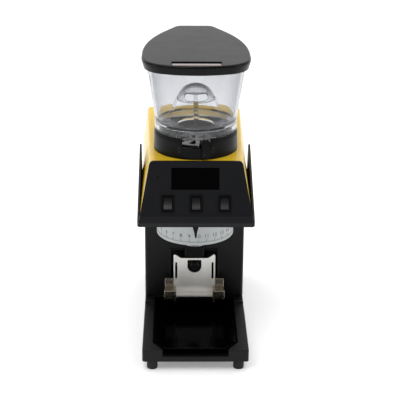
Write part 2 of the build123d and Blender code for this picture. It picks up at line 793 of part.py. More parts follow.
# ---------------------------------------------------------------------------
# Grind dial and the sleeve that it raises
# ---------------------------------------------------------------------------
dial_wall = 4.0
dial_web = 4.0
hub_bottom = dial_bottom + 10.0
hub_top = deck_top + 2.8
circlip_z = deck_top + 0.4
thread_pitch = 1.5

with BuildPart() as grind_dial:
    tube(dial_radius, dial_radius - dial_wall, dial_bottom, dial_top)
    fillet(grind_dial.edges().group_by(Axis.Z)[0], radius=0.8)
    tube(dial_radius - dial_wall + 0.5, hub_radius - 1.0, dial_top - 9, dial_top - 9 + dial_web)
    tube(hub_radius, sleeve_radius + running, hub_bottom, hub_top)
    with BuildSketch(Plane.XY.offset(circlip_z)):
        with Locations(axis_point):
            Circle(hub_radius + 2)
            Circle(hub_radius - 1.2, mode=Mode.SUBTRACT)
    extrude(amount=1.2, mode=Mode.SUBTRACT)

with BuildPart() as dial_circlip:
    tube(hub_radius + 2.2, hub_radius - 1.2, circlip_z, circlip_z + 1.2)
    block((-3.0, 3.0), (axis_y - hub_radius - 5, axis_y - 10), (circlip_z - 1, circlip_z + 3), Mode.SUBTRACT)

sleeve_bottom = hub_bottom - 3.0
sleeve_top = gear_bottom - 3.2
arm_depth = 6.0
arbor_top = burr_top + 7.0
with BuildPart() as adjusting_sleeve:
    tube(sleeve_radius, sleeve_radius - 3.0, sleeve_bottom, sleeve_top)
    for step in range(3):
        arm_plane = Plane(origin=(0, axis_y, sleeve_top - arm_depth), x_dir=(1, 0, 0), z_dir=(0, 0, 1))
        with BuildSketch(arm_plane.rotated((0, 0, 90 + 120 * step))):
            with Locations((sleeve_radius / 2 - 0.8, 0)):
                Rectangle(sleeve_radius - 1.6, 4.0)
        extrude(amount=arm_depth)
    tube(arbor_radius + 3.0, 0, sleeve_top - arm_depth, sleeve_top)
    tube(arbor_radius, 0, sleeve_top, arbor_top)
    tube(arbor_radius + 2.5, 0, sleeve_top, burr_bottom)

with BuildPart() as burr_nut:
    with BuildSketch(Plane.XY.offset(burr_top)):
        with Locations(axis_point):
            RegularPolygon(8.0, 6)
            Circle(arbor_radius, mode=Mode.SUBTRACT)
    extrude(amount=5.0)
    fillet(burr_nut.faces().sort_by(Axis.Z)[-1].edges(), radius=0.6)

spout_bottom = dial_bottom - 15.0
with BuildPart() as outlet_spout:
    turned([
        (sleeve_radius - 3.0, sleeve_bottom + 8), (sleeve_radius - 3.0, sleeve_bottom - 2),
        (14.0, spout_bottom), (12.2, spout_bottom), (sleeve_radius - 4.8, sleeve_bottom - 1.6),
        (sleeve_radius - 4.8, sleeve_bottom + 8),
    ])

# ---------------------------------------------------------------------------
# Collar, hopper, gate and lid
# ---------------------------------------------------------------------------
collar_wall = collar_radius - neck_radius - slip
window_floor = collar_top - 10.0
groove_z = collar_top - 3.6  # shadow groove under the collar's rim
groove_width = 0.9
window_half_angle = 20.5
lever_angle = 12.4
gate_turn = 24.0


def window_wedge(radius, half_angle, bottom, top, middle=0.0):
    """Cuts a wedge about the burr axis, centred on the front."""
    with BuildSketch(Plane.XY.offset(bottom)) as wedge:
        with BuildLine() as outline:
            start = radians(-90 + middle - half_angle)
            end = radians(-90 + middle + half_angle)
            reach = radius / cos(radians(half_angle))
            Polyline(
                (0, axis_y), (reach * cos(start), axis_y + reach * sin(start)),
                (reach * cos(end), axis_y + reach * sin(end)), close=True,
            )
        make_face(outline.edges())
    extrude(wedge.sketch, amount=top - bottom, mode=Mode.SUBTRACT)


with BuildPart() as hopper_collar:
    turned([
        (collar_radius, hood_top), (collar_radius - 0.5, groove_z), (collar_radius - 1.3, groove_z),
        (collar_radius - 1.3, groove_z + groove_width), (collar_radius - 0.6, groove_z + groove_width),
        (collar_radius - 0.7, collar_top - 1.2), (collar_radius - 1.9, collar_top),
        (neck_radius + slip, collar_top), (neck_radius + slip, hood_top + 2.6), (cap_radius - 8, hood_top + 2.6),
        (cap_radius - 8, hood_top),
    ])
    drill(1.5, hood_top - 1, hood_top + 4, cap_bolts)
    with BuildSketch(Plane.XY.offset(window_floor)):
        with BuildLine():
            wall_out = collar_radius + 2
            sweep = radians(window_half_angle)
            Polyline(
                (0, axis_y), (wall_out * sin(-sweep), axis_y - wall_out * cos(sweep)),
                (0, axis_y - wall_out - 3), (wall_out * sin(sweep), axis_y - wall_out * cos(sweep)), close=True,
            )
        make_face()
    extrude(amount=collar_height, mode=Mode.SUBTRACT)

lid_bottom = collar_top + hopper_rise - 1.6
lid_top = lid_bottom + lid_thickness
lid_front = 51.6  # lid's front edge ahead of the burr axis
front_arc = (110.0, 20.0)  # radius and sweep of each stretch of the lid's outline
corner_arc = (36.0, 60.0)
flank_arc = (100.0, 10.0)
side_length = 18.7
shoulder_arc = (255.0, 26.0)
taper_length = 26.0
tail_arc = (10.0, 64.0)


def egg_half(inset):
    """Right half of the lid's outline, pulled in by an inset, front centre to rear centre."""
    with BuildLine() as half:
        nose = JernArc((0, axis_y - lid_front + inset), (1, 0), front_arc[0] - inset, front_arc[1])
        corner = JernArc(nose @ 1, nose % 1, corner_arc[0] - inset, corner_arc[1])
        flank = JernArc(corner @ 1, corner % 1, flank_arc[0] - inset, flank_arc[1])
        side = Line(flank @ 1, (flank @ 1) + Vector(0, side_length))
        shoulder = JernArc(side @ 1, (0, 1), shoulder_arc[0] - inset, shoulder_arc[1])
        taper = Line(shoulder @ 1, (shoulder @ 1) + (shoulder % 1) * taper_length)
        tail = JernArc(taper @ 1, taper % 1, tail_arc[0] - inset, tail_arc[1])
        Line(tail @ 1, (0, (tail @ 1).Y))
    return half.edges()


def closed_face(edges):
    """Face inside a half outline and its mirror image, added to the open sketch."""
    make_face(edges + [edge.mirror(Plane.YZ) for edge in edges])


def circle_half(radius, inset):
    """Right half of a circle, divided at the bearings of the egg outline's corners."""
    edges = egg_half(inset)
    marks = [-90.0] + [degrees(atan2((e @ 1).Y - axis_y, (e @ 1).X)) for e in edges]
    with BuildLine() as half:
        for start, end in zip(marks, marks[1:]):
            CenterArc(axis_point, radius, start, end - start)
    return half.edges()


def ruled_solid(lower, lower_z, upper, upper_z):
    """Solid with straight walls between two half outlines and their mirror images."""
    wires = []
    for edges, level in ((lower, lower_z), (upper, upper_z)):
        whole = Wire(list(edges) + [edge.mirror(Plane.YZ) for edge in edges])
        wires.append(whole.moved(Pos(0, 0, level)))
    return Solid.make_loft(wires, True)


bowl_foot = collar_top + 0.4
bowl_shoulder = bowl_foot + 12.6
bowl_rim = collar_top + hopper_rise
rim_inset = 6.0
floor_drop = 5.5
throat_foot = hood_top + 14.0
neck_foot = hood_top + 5.0

bowl_outside = ruled_solid(circle_half(hopper_radius, rim_inset), bowl_shoulder, egg_half(rim_inset), bowl_rim)
wall_inset = rim_inset + hopper_wall
bowl_inside = ruled_solid(
    circle_half(hopper_radius - hopper_wall, wall_inset), bowl_shoulder, egg_half(wall_inset), bowl_rim)
with BuildPart() as hopper_bowl:
    add(bowl_outside)
    add(bowl_inside, mode=Mode.SUBTRACT)
    turned([
        (hopper_radius, bowl_foot), (hopper_radius, bowl_shoulder), (hopper_radius - hopper_wall, bowl_shoulder),
        (hopper_radius - hopper_wall - 0.5, bowl_shoulder - 2), (throat_radius, bowl_shoulder - 2 - floor_drop),
        (throat_radius, throat_foot), (throat_radius + 2.2, throat_foot),
        (throat_radius + 2.2, bowl_shoulder - 4.6 - floor_drop), (neck_radius - 2.4, bowl_shoulder - 4.6),
        (neck_radius - 2.4, neck_foot), (neck_radius, neck_foot), (neck_radius, bowl_foot),
    ])
    window_wedge(neck_radius + 1, window_half_angle + 3, hood_top + 3, bowl_foot - 1.6)

# Finger guard: a clear dome on four legs over the throat.
guard_foot = bowl_shoulder - 2 - floor_drop * 0.5
guard_ring_z = guard_foot + 27.0
guard_top = guard_ring_z + 18.0
guard_leg_reach = 33.0
guard_ring_radius = 22.0
guard_thickness = 2.2
with BuildPart() as hopper_guard:
    dome_radius = (guard_ring_radius ** 2 + 18.0 ** 2) / (2 * 18.0)
    dome_centre = guard_top - dome_radius
    with BuildSketch(Plane.XZ.offset(-axis_y)) as dome_view:
        with BuildLine() as outline:
            outer = ThreePointArc(
                (0, guard_top),
                (dome_radius * sin(radians(30)), dome_centre + dome_radius * cos(radians(30))),
                (guard_ring_radius, guard_ring_z),
            )
            Line(outer @ 1, (guard_ring_radius - guard_thickness, guard_ring_z))
            inner = ThreePointArc(
                (guard_ring_radius - guard_thickness, guard_ring_z),
                ((dome_radius - guard_thickness) * sin(radians(30)),
                 dome_centre + (dome_radius - guard_thickness) * cos(radians(30))),
                (0, guard_top - guard_thickness),
            )
            Line(inner @ 1, outer @ 0)
        make_face(outline.edges())
    revolve(dome_view.sketch, axis=Axis((0, axis_y, 0), (0, 0, 1)))
    for step in range(4):
        with BuildSketch(upright(90 * step)) as leg_view:
            with BuildLine() as outline:
                Polyline(
                    (guard_ring_radius - guard_thickness, guard_ring_z + 1), (guard_ring_radius, guard_ring_z + 2),
                    (guard_leg_reach + 1.5, guard_foot + 1.6), (guard_leg_reach - 2.5, guard_foot + 0.4), close=True,
                )
            make_face(outline.edges())
        extrude(leg_view.sketch, amount=2.6, both=True)
    with BuildSketch(Plane.XZ.offset(-axis_y + 60)) as side_ports:
        with Locations((0, guard_ring_z + 5.5)):
            SlotOverall(26, 7.5)
    extrude(side_ports.sketch, amount=-120, mode=Mode.SUBTRACT)

vane_count = 7
vane_open = 23.0
gate_z = throat_foot - 4.4
gate_thickness = 1.4
gate_clear = 0.4


def vane_ports(outer, inner, bottom, top):
    """Ring of equal sector openings in a gate plate."""
    for step in range(vane_count):
        middle = 360 * step / vane_count
        with BuildSketch(Plane.XY.offset(bottom)) as port:
            with BuildLine() as outline:
                begin = middle - vane_open / 2
                rim = CenterArc(axis_point, outer, begin, vane_open)
                hub = CenterArc(axis_point, inner, begin, vane_open)
                Line(rim @ 0, hub @ 0)
                Line(rim @ 1, hub @ 1)
            make_face(outline.edges())
        extrude(port.sketch, amount=top - bottom, mode=Mode.SUBTRACT)


seat_z = gate_z - gate_thickness - gate_clear
with BuildPart() as gate_seat:
    tube(neck_radius - 2.6, 0, seat_z - gate_thickness, seat_z)
    tube(neck_radius - 2.6, neck_radius - 4.6, seat_z, throat_foot + 4)
    window_wedge(neck_radius + 2, window_half_angle + 3, seat_z + 0.01, throat_foot + 6)
    vane_ports(throat_radius - 1, 4.0, seat_z - 2 * gate_thickness, seat_z + 1)

with BuildPart() as gate_disc:
    tube(throat_radius + 4, 0, gate_z - gate_thickness, gate_z)
    vane_ports(throat_radius - 1, 4.0, gate_z - 2 * gate_thickness, gate_z + 1)
    arm_plane = Plane(origin=(0, axis_y, gate_z - gate_thickness), x_dir=(1, 0, 0), z_dir=(0, 0, 1))
    with BuildSketch(arm_plane.rotated((0, 0, -90 + lever_angle))):
        with Locations(((throat_radius + neck_radius - 7) / 2, 0)):
            Rectangle(neck_radius - 7 - throat_radius + 4, 7.0)
    extrude(amount=gate_thickness)

lever_half = 5.0
lever_inner = neck_radius - 8.0
lever_outer = collar_radius + 3.0
lever_drop = 21.0
with BuildPart() as gate_lever:
    with BuildSketch(upright(lever_angle - 90)):
        with BuildLine():
            Polyline(
                (lever_inner, gate_z), (lever_inner, gate_z + 2.6), (lever_inner + 5, window_floor + 7.6),
                (lever_outer - 1.5, window_floor + 7.6), (lever_outer, window_floor + 6.2),
                (lever_outer + 0.7, collar_top - lever_drop), (collar_radius + 0.8, collar_top - lever_drop),
                (collar_radius + 0.5, window_floor + 0.6), (neck_radius - 3.5, window_floor + 0.6),
                (lever_inner + 3, gate_z), close=True,
            )
        make_face()
    extrude(amount=lever_half, both=True)
    fillet(gate_lever.faces().filter_by(lambda f: f.center().Z < collar_top - lever_drop + 12)
           .sort_by(Axis.Y)[0].edges(), radius=0.5)

skirt_taper = 2.2
lid_skirt = ruled_solid(egg_half(skirt_taper), lid_bottom, egg_half(0), lid_top - 3.5)
with BuildPart() as hopper_lid:
    add(lid_skirt)
    with BuildSketch(Plane.XY.offset(lid_top - 3.5)):
        closed_face(egg_half(0))
    extrude(amount=3.5)
    fillet(hopper_lid.faces().sort_by(Axis.Z)[-1].edges(), radius=2.6)
    with BuildSketch(Plane.XY.offset(lid_bottom)):
        closed_face(egg_half(rim_inset - 1.2))
    extrude(amount=bowl_rim - lid_bottom + 0.4, mode=Mode.SUBTRACT)
    with BuildSketch(Plane.XY.offset(lid_bottom)):
        closed_face(egg_half(rim_inset + hopper_wall + 0.8))
    extrude(amount=lid_top - lid_bottom - 2.6, mode=Mode.SUBTRACT)
    badge_y = (axis_y - 46.6, axis_y - 29.0)
    badge_half = 28.0
    with BuildSketch(Plane.XY.offset(lid_top - 1.2)):
        with Locations((0, (badge_y[0] + badge_y[1]) / 2)):
            RectangleRounded(2 * badge_half, badge_y[1] - badge_y[0], 1.0)
    extrude(amount=2, mode=Mode.SUBTRACT)

with BuildPart() as lid_badge:
    with BuildSketch(Plane.XY.offset(lid_top - 1.2)):
        with Locations((0, badge_y[0] + 5.5)):
            RectangleRounded(2 * badge_half - 2, 7.0, 0.8)
    extrude(amount=1.0)

# ---------------------------------------------------------------------------
# Fork, its guide and the start button
# ---------------------------------------------------------------------------
plate_back_y = column_y - 9.9
plate_thickness = 1.5
plate_front_y = plate_back_y - plate_thickness
plate_half = 25.8
plate_top = foot_height + 72.0
horn_rise = 5.0
shelf_z = foot_height + 26.5
hole_half = 8.6
hole_bottom = foot_height + 52.4
hole_top = foot_height + 69.6
slot_x = 22.6
slot_range = (foot_height + 44.0, foot_height + 66.5)
prong_inner = 22.7
prong_outer = 37.3
prong_reach = 15.0
prong_top = foot_height + 34.0
prong_bottom = foot_height + 22.0
hook_bottom = foot_height + 18.0
tab_top = foot_height + 45.5
button_z = foot_height + 64.0
button_radius = 5.5
guide_half = 12.6
guide_bottom = foot_height + 35.0
guide_top = dial_bottom - 20.0
guide_front_y = plate_back_y + 0.4
guide_rear_y = column_y + recess_depth

with BuildPart() as fork_plate:
    with BuildSketch(Plane.XZ.offset(-plate_back_y)):
        with BuildLine():
            Polyline(
                (-plate_half, shelf_z), (plate_half, shelf_z), (plate_half, plate_top),
                (plate_half, plate_top + horn_rise - 1.5), (plate_half - 1.5, plate_top + horn_rise),
                (plate_half - 9, plate_top), (-plate_half + 9, plate_top),
                (-plate_half + 1.5, plate_top + horn_rise), (-plate_half, plate_top + horn_rise - 1.5), close=True,
            )
        make_face()
        with BuildLine():
            arch_left = Line((-hole_half, hole_top), (-hole_half, hole_bottom + hole_half))
            arch = ThreePointArc(arch_left @ 1, (0, hole_bottom), (hole_half, hole_bottom + hole_half))
            arch_right = Line(arch @ 1, (hole_half, hole_top))
            Line(arch_right @ 1, arch_left @ 0)
        make_face(mode=Mode.SUBTRACT)
        with Locations(*[(side * slot_x, sum(slot_range) / 2) for side in (-1, 1)]):
            SlotOverall(slot_range[1] - slot_range[0], 2.6, rotation=90, mode=Mode.SUBTRACT)
    extrude(amount=plate_thickness)
    block((-prong_inner, prong_inner), (plate_back_y - prong_reach + 2, plate_back_y), (shelf_z - 2.0, shelf_z))
    for side in (-1, 1):
        slot_side = sorted((side * (plate_half - 1.2), side * plate_half))
        block(slot_side, (plate_back_y - 0.01, guide_front_y + 4.0), (slot_range[0], plate_top - 1))


def fork_prong(side):
    """Folded prong beside the plate: top, front and outer cheek, a lower hook and an upper tab."""
    with BuildPart() as prong:
        across = sorted((side * prong_inner, side * prong_outer))
        rear = plate_front_y - 0.02
        front = plate_back_y - prong_reach
        block(across, (front, rear), (prong_bottom, prong_top))
        fillet(prong.edges().filter_by(Axis.X).sort_by(Axis.Z)[-2:].sort_by(Axis.Y)[0], radius=1.5)
        hollow = sorted((side * (prong_inner + 1.8), side * (prong_outer - 1.8)))
        block(hollow, (front + 1.8, rear + 1), (prong_bottom - 1, prong_top - 1.8), Mode.SUBTRACT)
        hook = sorted((side * prong_inner, side * (prong_inner + 3.2)))
        block(hook, (front, front + 6.0), (hook_bottom, prong_bottom + 1))
        tab = sorted((side * (plate_half + 0.6), side * (prong_outer - 0.8)))
        block(tab, (rear - 2.0, rear), (prong_top - 1, tab_top))
        fillet(prong.edges().filter_by(Axis.Y).sort_by(Axis.Z)[-2:], radius=1.8)
    return prong


fork_prong_left = fork_prong(-1)
fork_prong_right = fork_prong(1)

with BuildPart() as bracket_guide:
    block((-guide_half, guide_half), (guide_front_y, guide_rear_y), (guide_bottom, guide_top))
    fillet(bracket_guide.edges().filter_by(Axis.Z).group_by(Axis.Y)[0], radius=3.0)
    block((-guide_half - 1, guide_half + 1), (column_y - 1.4, guide_rear_y + 1),
          (recess_top - slip, guide_top + 1), Mode.SUBTRACT)
    with BuildSketch(Plane.XZ.offset(-guide_front_y + 1)):
        with Locations((0, button_z)):
            Circle(button_radius + running + 0.05)
    extrude(amount=-12.0, mode=Mode.SUBTRACT)
    with BuildSketch(Plane.XZ.offset(-guide_rear_y)):
        with Locations((0, button_z)):
            Rectangle(14.0, 12.0)
    extrude(amount=8.0, mode=Mode.SUBTRACT)

button_reach = button_travel + 0.7
with BuildPart() as start_button:
    with BuildSketch(Plane.XZ.offset(-guide_front_y - 6.0)):
        with Locations((0, button_z)):
            Circle(button_radius)
    extrude(amount=guide_front_y + 6.0 - plate_front_y + button_reach)
    fillet(start_button.faces().sort_by(Axis.Y)[0].edges(), radius=3.6)

with BuildPart() as micro_switch:
    block((-6.4, 6.4), (guide_rear_y - 6.5, guide_rear_y), (button_z - 5.0, button_z + 5.0))

# ---------------------------------------------------------------------------
# Electrics inside the column
# ---------------------------------------------------------------------------
supply_front_y = column_y + recess_depth + sheet + 1.5
with BuildPart() as power_supply:
    block((-34, 34), (supply_front_y, supply_front_y + 1.6), (base_top + 5, base_top + 85))
    block((-30, -8), (supply_front_y + 1.6, supply_front_y + 17), (base_top + 12, base_top + 40))
    block((4, 28), (supply_front_y + 1.6, supply_front_y + 14), (base_top + 14, base_top + 38))
    with BuildSketch(Plane.XZ.offset(-supply_front_y - 1.6)) as cans:
        with Locations((-22, base_top + 62), (-4, base_top + 62), (20, base_top + 60)):
            Circle(7.0)
    extrude(cans.sketch, amount=-14)

with BuildPart() as power_inlet:
    block((-inlet_half_x + 0.1, inlet_half_x - 0.1), (cover_y - 22, cover_y), (inlet_z - inlet_half_z + 0.1,
          inlet_z + inlet_half_z - 0.1))
    block((-inlet_half_x - 1.6, inlet_half_x + 1.6), (cover_y, cover_y + 2.0),
          (inlet_z - inlet_half_z - 1.6, inlet_z + inlet_half_z + 1.6))
    fillet(power_inlet.edges().filter_by(Axis.Y).group_by(SortBy.LENGTH)[0], radius=1.2)
    block((-12.1, 12.1), (cover_y - 15, cover_y + 3), (inlet_z - 8.1, inlet_z + 8.1), Mode.SUBTRACT)
    for pin_x, pin_z in ((-7, -1), (0, 3), (7, -1)):
        block((pin_x - 1.0, pin_x + 1.0), (cover_y - 15, cover_y - 3.5),
              (inlet_z + pin_z - 2.0, inlet_z + pin_z + 2.0))

cover_bolts = [(side * (half_width - 6.5), z) for side in (-1, 1)
               for z in (base_top + 8, (base_top + deck_height) / 2, deck_height - 8)]
with BuildPart() as case_screws:
    with BuildSketch(Plane.XZ.offset(-cover_y)):
        with Locations(*cover_bolts):
            Circle(2.8)
            RegularPolygon(1.3, 6, mode=Mode.SUBTRACT)
    extrude(amount=-1.6)
    for side in (-1, 1):
        for bolt_x, bolt_y in cheek_bolts:
            with BuildSketch(Plane.XY.offset(deck_height - cheek_thickness - 1.4)):
                with Locations((side * bolt_x, bolt_y)):
                    Circle(2.8)
                    RegularPolygon(1.3, 6, mode=Mode.SUBTRACT)
            extrude(amount=1.4)
    with BuildSketch(Plane.XY.offset(hood_top + 2.6)):
        with Locations(*cap_bolts):
            Circle(2.4)
            RegularPolygon(1.1, 6, mode=Mode.SUBTRACT)
    extrude(amount=1.5)
    with BuildSketch(Plane.XY.offset(housing_top - 8)):
        with Locations(*cap_bolts):
            Circle(1.1)
    extrude(amount=hood_top + 2.6 - housing_top + 8)

pieces = {
    "base_frame": base_frame, "rubber_feet": rubber_feet, "foot_screws": foot_screws, "drip_tray": drip_tray,
    "column_shell": column_shell, "rear_cover": rear_cover, "deck_plate": deck_plate, "hood_shell": hood_shell,
    "side_cheek_left": side_cheek_left, "side_cheek_right": side_cheek_right, "case_screws": case_screws,
    "control_panel": control_panel, "display_window": display_window, "display_module": display_module,
    "control_board": control_board, "dial_pointer": dial_pointer,
    "gearbox_case": gearbox_case, "gearbox_cover": gearbox_cover, "gearbox_screws": gearbox_screws,
    "idler_pin": idler_pin, "idler_gear": idler_gear, "motor_pinion": motor_pinion, "motor_shaft": motor_shaft,
    "motor_case": motor_case,
    "drive_gear": drive_gear, "gear_screws": gear_screws, "ring_burr_holder": ring_burr_holder,
    "ring_burr": ring_burr, "rotor_bearing_lower": rotor_bearing_lower, "rotor_bearing_upper": rotor_bearing_upper,
    "burr_housing": burr_housing, "throat_cap": throat_cap,
    "cone_burr": cone_burr, "burr_nut": burr_nut, "adjusting_sleeve": adjusting_sleeve,
    "outlet_spout": outlet_spout, "grind_dial": grind_dial, "dial_circlip": dial_circlip,
    "hopper_collar": hopper_collar,
    "hopper_bowl": hopper_bowl, "hopper_guard": hopper_guard, "gate_seat": gate_seat,
    "gate_disc": gate_disc, "gate_lever": gate_lever,
    "hopper_lid": hopper_lid, "lid_badge": lid_badge,
    "fork_plate": fork_plate, "fork_prong_left": fork_prong_left, "fork_prong_right": fork_prong_right,
    "bracket_guide": bracket_guide, "start_button": start_button,
    "micro_switch": micro_switch, "power_supply": power_supply, "power_inlet": power_inlet,
}
for place, housing, rocker in zip(switch_names, switch_housings, switch_rockers):
    pieces["switch_housing_" + place] = housing
    pieces["switch_rocker_" + place] = rocker

for label, piece in pieces.items():
    piece.part.label = label
    export_step(piece.part, "parts/" + label + ".step")
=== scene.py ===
import json
from math import atan2, cos, hypot, pi, radians, sin

import bmesh
import bpy
from bpy.props import FloatProperty, FloatVectorProperty, IntProperty, PointerProperty
from mathutils import Matrix, Vector


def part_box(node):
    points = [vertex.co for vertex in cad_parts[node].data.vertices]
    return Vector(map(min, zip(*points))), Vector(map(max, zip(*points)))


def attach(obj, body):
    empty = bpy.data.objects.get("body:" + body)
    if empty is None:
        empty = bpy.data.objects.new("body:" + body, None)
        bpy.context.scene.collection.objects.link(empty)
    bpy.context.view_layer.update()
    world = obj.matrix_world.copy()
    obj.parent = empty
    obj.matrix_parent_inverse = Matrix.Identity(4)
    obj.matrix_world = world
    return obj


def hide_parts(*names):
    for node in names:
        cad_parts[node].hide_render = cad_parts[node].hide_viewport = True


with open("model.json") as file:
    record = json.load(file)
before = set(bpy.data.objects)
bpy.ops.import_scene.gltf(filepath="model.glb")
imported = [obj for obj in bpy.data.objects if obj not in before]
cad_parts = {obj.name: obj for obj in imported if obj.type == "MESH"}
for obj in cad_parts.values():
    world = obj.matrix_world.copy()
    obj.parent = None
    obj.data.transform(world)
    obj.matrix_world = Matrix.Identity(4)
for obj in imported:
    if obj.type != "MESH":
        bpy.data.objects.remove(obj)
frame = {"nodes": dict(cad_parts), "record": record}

bl_info = {
    "name": "Burr coffee grinder",
    "version": (1, 0, 0),
    "blender": (4, 5, 0),
    "location": "View3D > Sidebar > Grinder",
    "description": "Builds the finished surfaces of a burr coffee grinder around its frame",
    "category": "Add Mesh",
}

MM = 0.001
LATHE_TURN = 0.0006  # metres of pattern for a radian of turn, which draws the marks out
CLOUD = 40  # width of the slow variation, in grains

# Where the camera stands about the grinder, in metres and degrees.
CAMERA_TARGET = Vector((0.0058, -0.0265, 0.1679))
CAMERA_PITCH, CAMERA_SWING, CAMERA_ROLL = 21.0, -1.19, 0.52
CAMERA_DISTANCE = 1.35278
FLOOR_HALF = 6.0
FLOOR_GLOW = 0.26  # lifts the paper to white, as an overexposed backdrop is

# Printing on the dial, in millimetres from its foot or from the figures, and degrees.
INK = 0.05
FIGURE_RISE = 11.5
POINTER_FIGURE = 9  # last figure before the pointer when the grinder is at rest
POINTER_FIGURE_BEARING = -9.2
LINE_DROP, TICK_DROP, FINE_TICK_DROP = 7.6, 5.4, 6.6
FINE_TICKS = 5

# Lock marks on the collar, in millimetres from its foot and degrees from the front.
LOCK_BEARING = 23.6
DOT_RISE, RING_RISE = 8.4, 12.6

# Outline of the hopper from the front to the rear: arc radius (None for a straight run)
# with its sweep in degrees, or its length, in millimetres.
OUTLINE = ((110, 20), (36, 60), (100, 10), (None, 18.7), (255, 26), (None, 26), (10, 64))
ARC_STEPS = 16
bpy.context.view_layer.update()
BEHAVIOUR = frame["record"]["behaviour"]
BODY_OF = {node: body for body, nodes in BEHAVIOUR["bodies"].items() for node in nodes}
SLOT_OF = {part["node"]: part["material_slot"] for part in frame["record"]["subparts"]}


def middle(node):
    """Centre of a CAD node's box."""
    low, high = (Vector(corner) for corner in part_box(node))
    return (low + high) / 2


def reach(node):
    """Size of a CAD node's box."""
    low, high = (Vector(corner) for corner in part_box(node))
    return high - low


BURR_AXIS = Vector((0, middle("grind_dial").y, 0))


# ---------------------------------------------------------------------------
# Colours, nodes and materials
# ---------------------------------------------------------------------------
def linear(code):
    """An sRGB hex code as linear red, green and blue."""
    parts = [int(code[i:i + 2], 16) / 255 for i in (1, 3, 5)]
    return [c / 12.92 if c <= 0.04045 else ((c + 0.055) / 1.055) ** 2.4 for c in parts]


def add_node(tree, kind, settings=None, links=None):
    """Adds a node; a link is a socket to join or a plain value to set."""
    node = tree.nodes.new(kind)
    for name, value in (settings or {}).items():
        setattr(node, name, value)
    for socket, value in (links or {}).items():
        if isinstance(value, bpy.types.NodeSocket):
            tree.links.new(value, node.inputs[socket])
        else:
            node.inputs[socket].default_value = value
    return node


def maths(tree, operation, *values):
    """Output of a maths node over sockets or plain values."""
    node = add_node(tree, "ShaderNodeMath", {"operation": operation}, dict(enumerate(values)))
    return node.outputs[0]


def per_metre(size_mm):
    """Noise scale whose grain is about size_mm across."""
    return 1 / (size_mm * MM)


def turned_coordinates(tree, centre):
    """Object coordinates as (turn about an upright axis, height, radius), for lathe marks."""
    place = add_node(tree, "ShaderNodeTexCoord").outputs["Object"]
    moved = add_node(tree, "ShaderNodeMapping", None, {0: place, 1: (-centre.x, -centre.y, 0)})
    x, y, z = add_node(tree, "ShaderNodeSeparateXYZ", None, {0: moved.outputs[0]}).outputs
    turn = maths(tree, "ARCTAN2", y, x)
    radius = maths(tree, "SQRT", maths(tree, "MULTIPLY_ADD", y, y, maths(tree, "MULTIPLY", x, x)))
    slow_turn = maths(tree, "MULTIPLY", turn, LATHE_TURN)
    return add_node(tree, "ShaderNodeCombineXYZ", None, {0: slow_turn, 1: z, 2: radius}).outputs[0]


def finish(name, colour, rough, grain_mm, bump_mm, stretch=(1, 1, 1), spread=0.06, tone=0.06,
           lathe=None, **shader):
    """A finish whose grain varies its tone, its roughness and its height.

    grain_mm is the width of the grain, stretch divides it along an axis to draw it out,
    spread and tone say how far roughness and brightness vary, and shader names any other
    socket of the Principled shader."""
    material = bpy.data.materials.new(name)
    material.use_nodes = True
    tree = material.node_tree
    principled = tree.nodes["Principled BSDF"]
    if lathe is None:
        place = add_node(tree, "ShaderNodeTexCoord").outputs["Object"]
    else:
        place = turned_coordinates(tree, lathe)
    place = add_node(tree, "ShaderNodeMapping", None, {0: place, 3: stretch}).outputs[0]
    grain = add_node(tree, "ShaderNodeTexNoise", None,
                     {"Vector": place, "Scale": per_metre(grain_mm), "Detail": 3.0,
                      "Roughness": 0.55})
    cloud = add_node(tree, "ShaderNodeTexNoise", None,
                     {"Vector": place, "Scale": per_metre(grain_mm * CLOUD), "Detail": 2.0})
    mixed = maths(tree, "MULTIPLY_ADD", cloud.outputs[0], 0.5,
                  maths(tree, "MULTIPLY", grain.outputs[0], 0.5))
    base = linear(colour)
    ramp = add_node(tree, "ShaderNodeValToRGB", None, {0: mixed})
    ramp.color_ramp.elements[0].position = 0.3
    ramp.color_ramp.elements[1].position = 0.7
    ramp.color_ramp.elements[0].color = [c * (1 - tone) for c in base] + [1]
    ramp.color_ramp.elements[1].color = [min(1, c * (1 + tone)) for c in base] + [1]
    level = add_node(tree, "ShaderNodeMapRange", None,
                     {0: mixed, 1: 0.3, 2: 0.7, 3: max(0.0, rough - spread), 4: rough + spread})
    tree.links.new(ramp.outputs[0], principled.inputs["Base Color"])
    tree.links.new(level.outputs[0], principled.inputs["Roughness"])
    if bump_mm:
        bump = add_node(tree, "ShaderNodeBump", None,
                        {"Height": grain.outputs[0], "Distance": bump_mm * MM, "Strength": 1.0})
        tree.links.new(bump.outputs[0], principled.inputs["Normal"])
    for socket, value in shader.items():
        principled.inputs[socket.replace("_", " ")].default_value = value
    return material


def darken_edges(material, colour):
    """Tints a clear wall where it is seen edge on and light crosses more of it."""
    tree = material.node_tree
    base = tree.nodes["Principled BSDF"].inputs["Base Color"]
    facing = add_node(tree, "ShaderNodeLayerWeight", None, {"Blend": 0.35}).outputs["Facing"]
    mix = add_node(tree, "ShaderNodeMix", {"data_type": "RGBA"},
                   {0: facing, 6: base.links[0].from_socket, 7: linear(colour) + [1]})
    tree.links.new(mix.outputs[2], base)


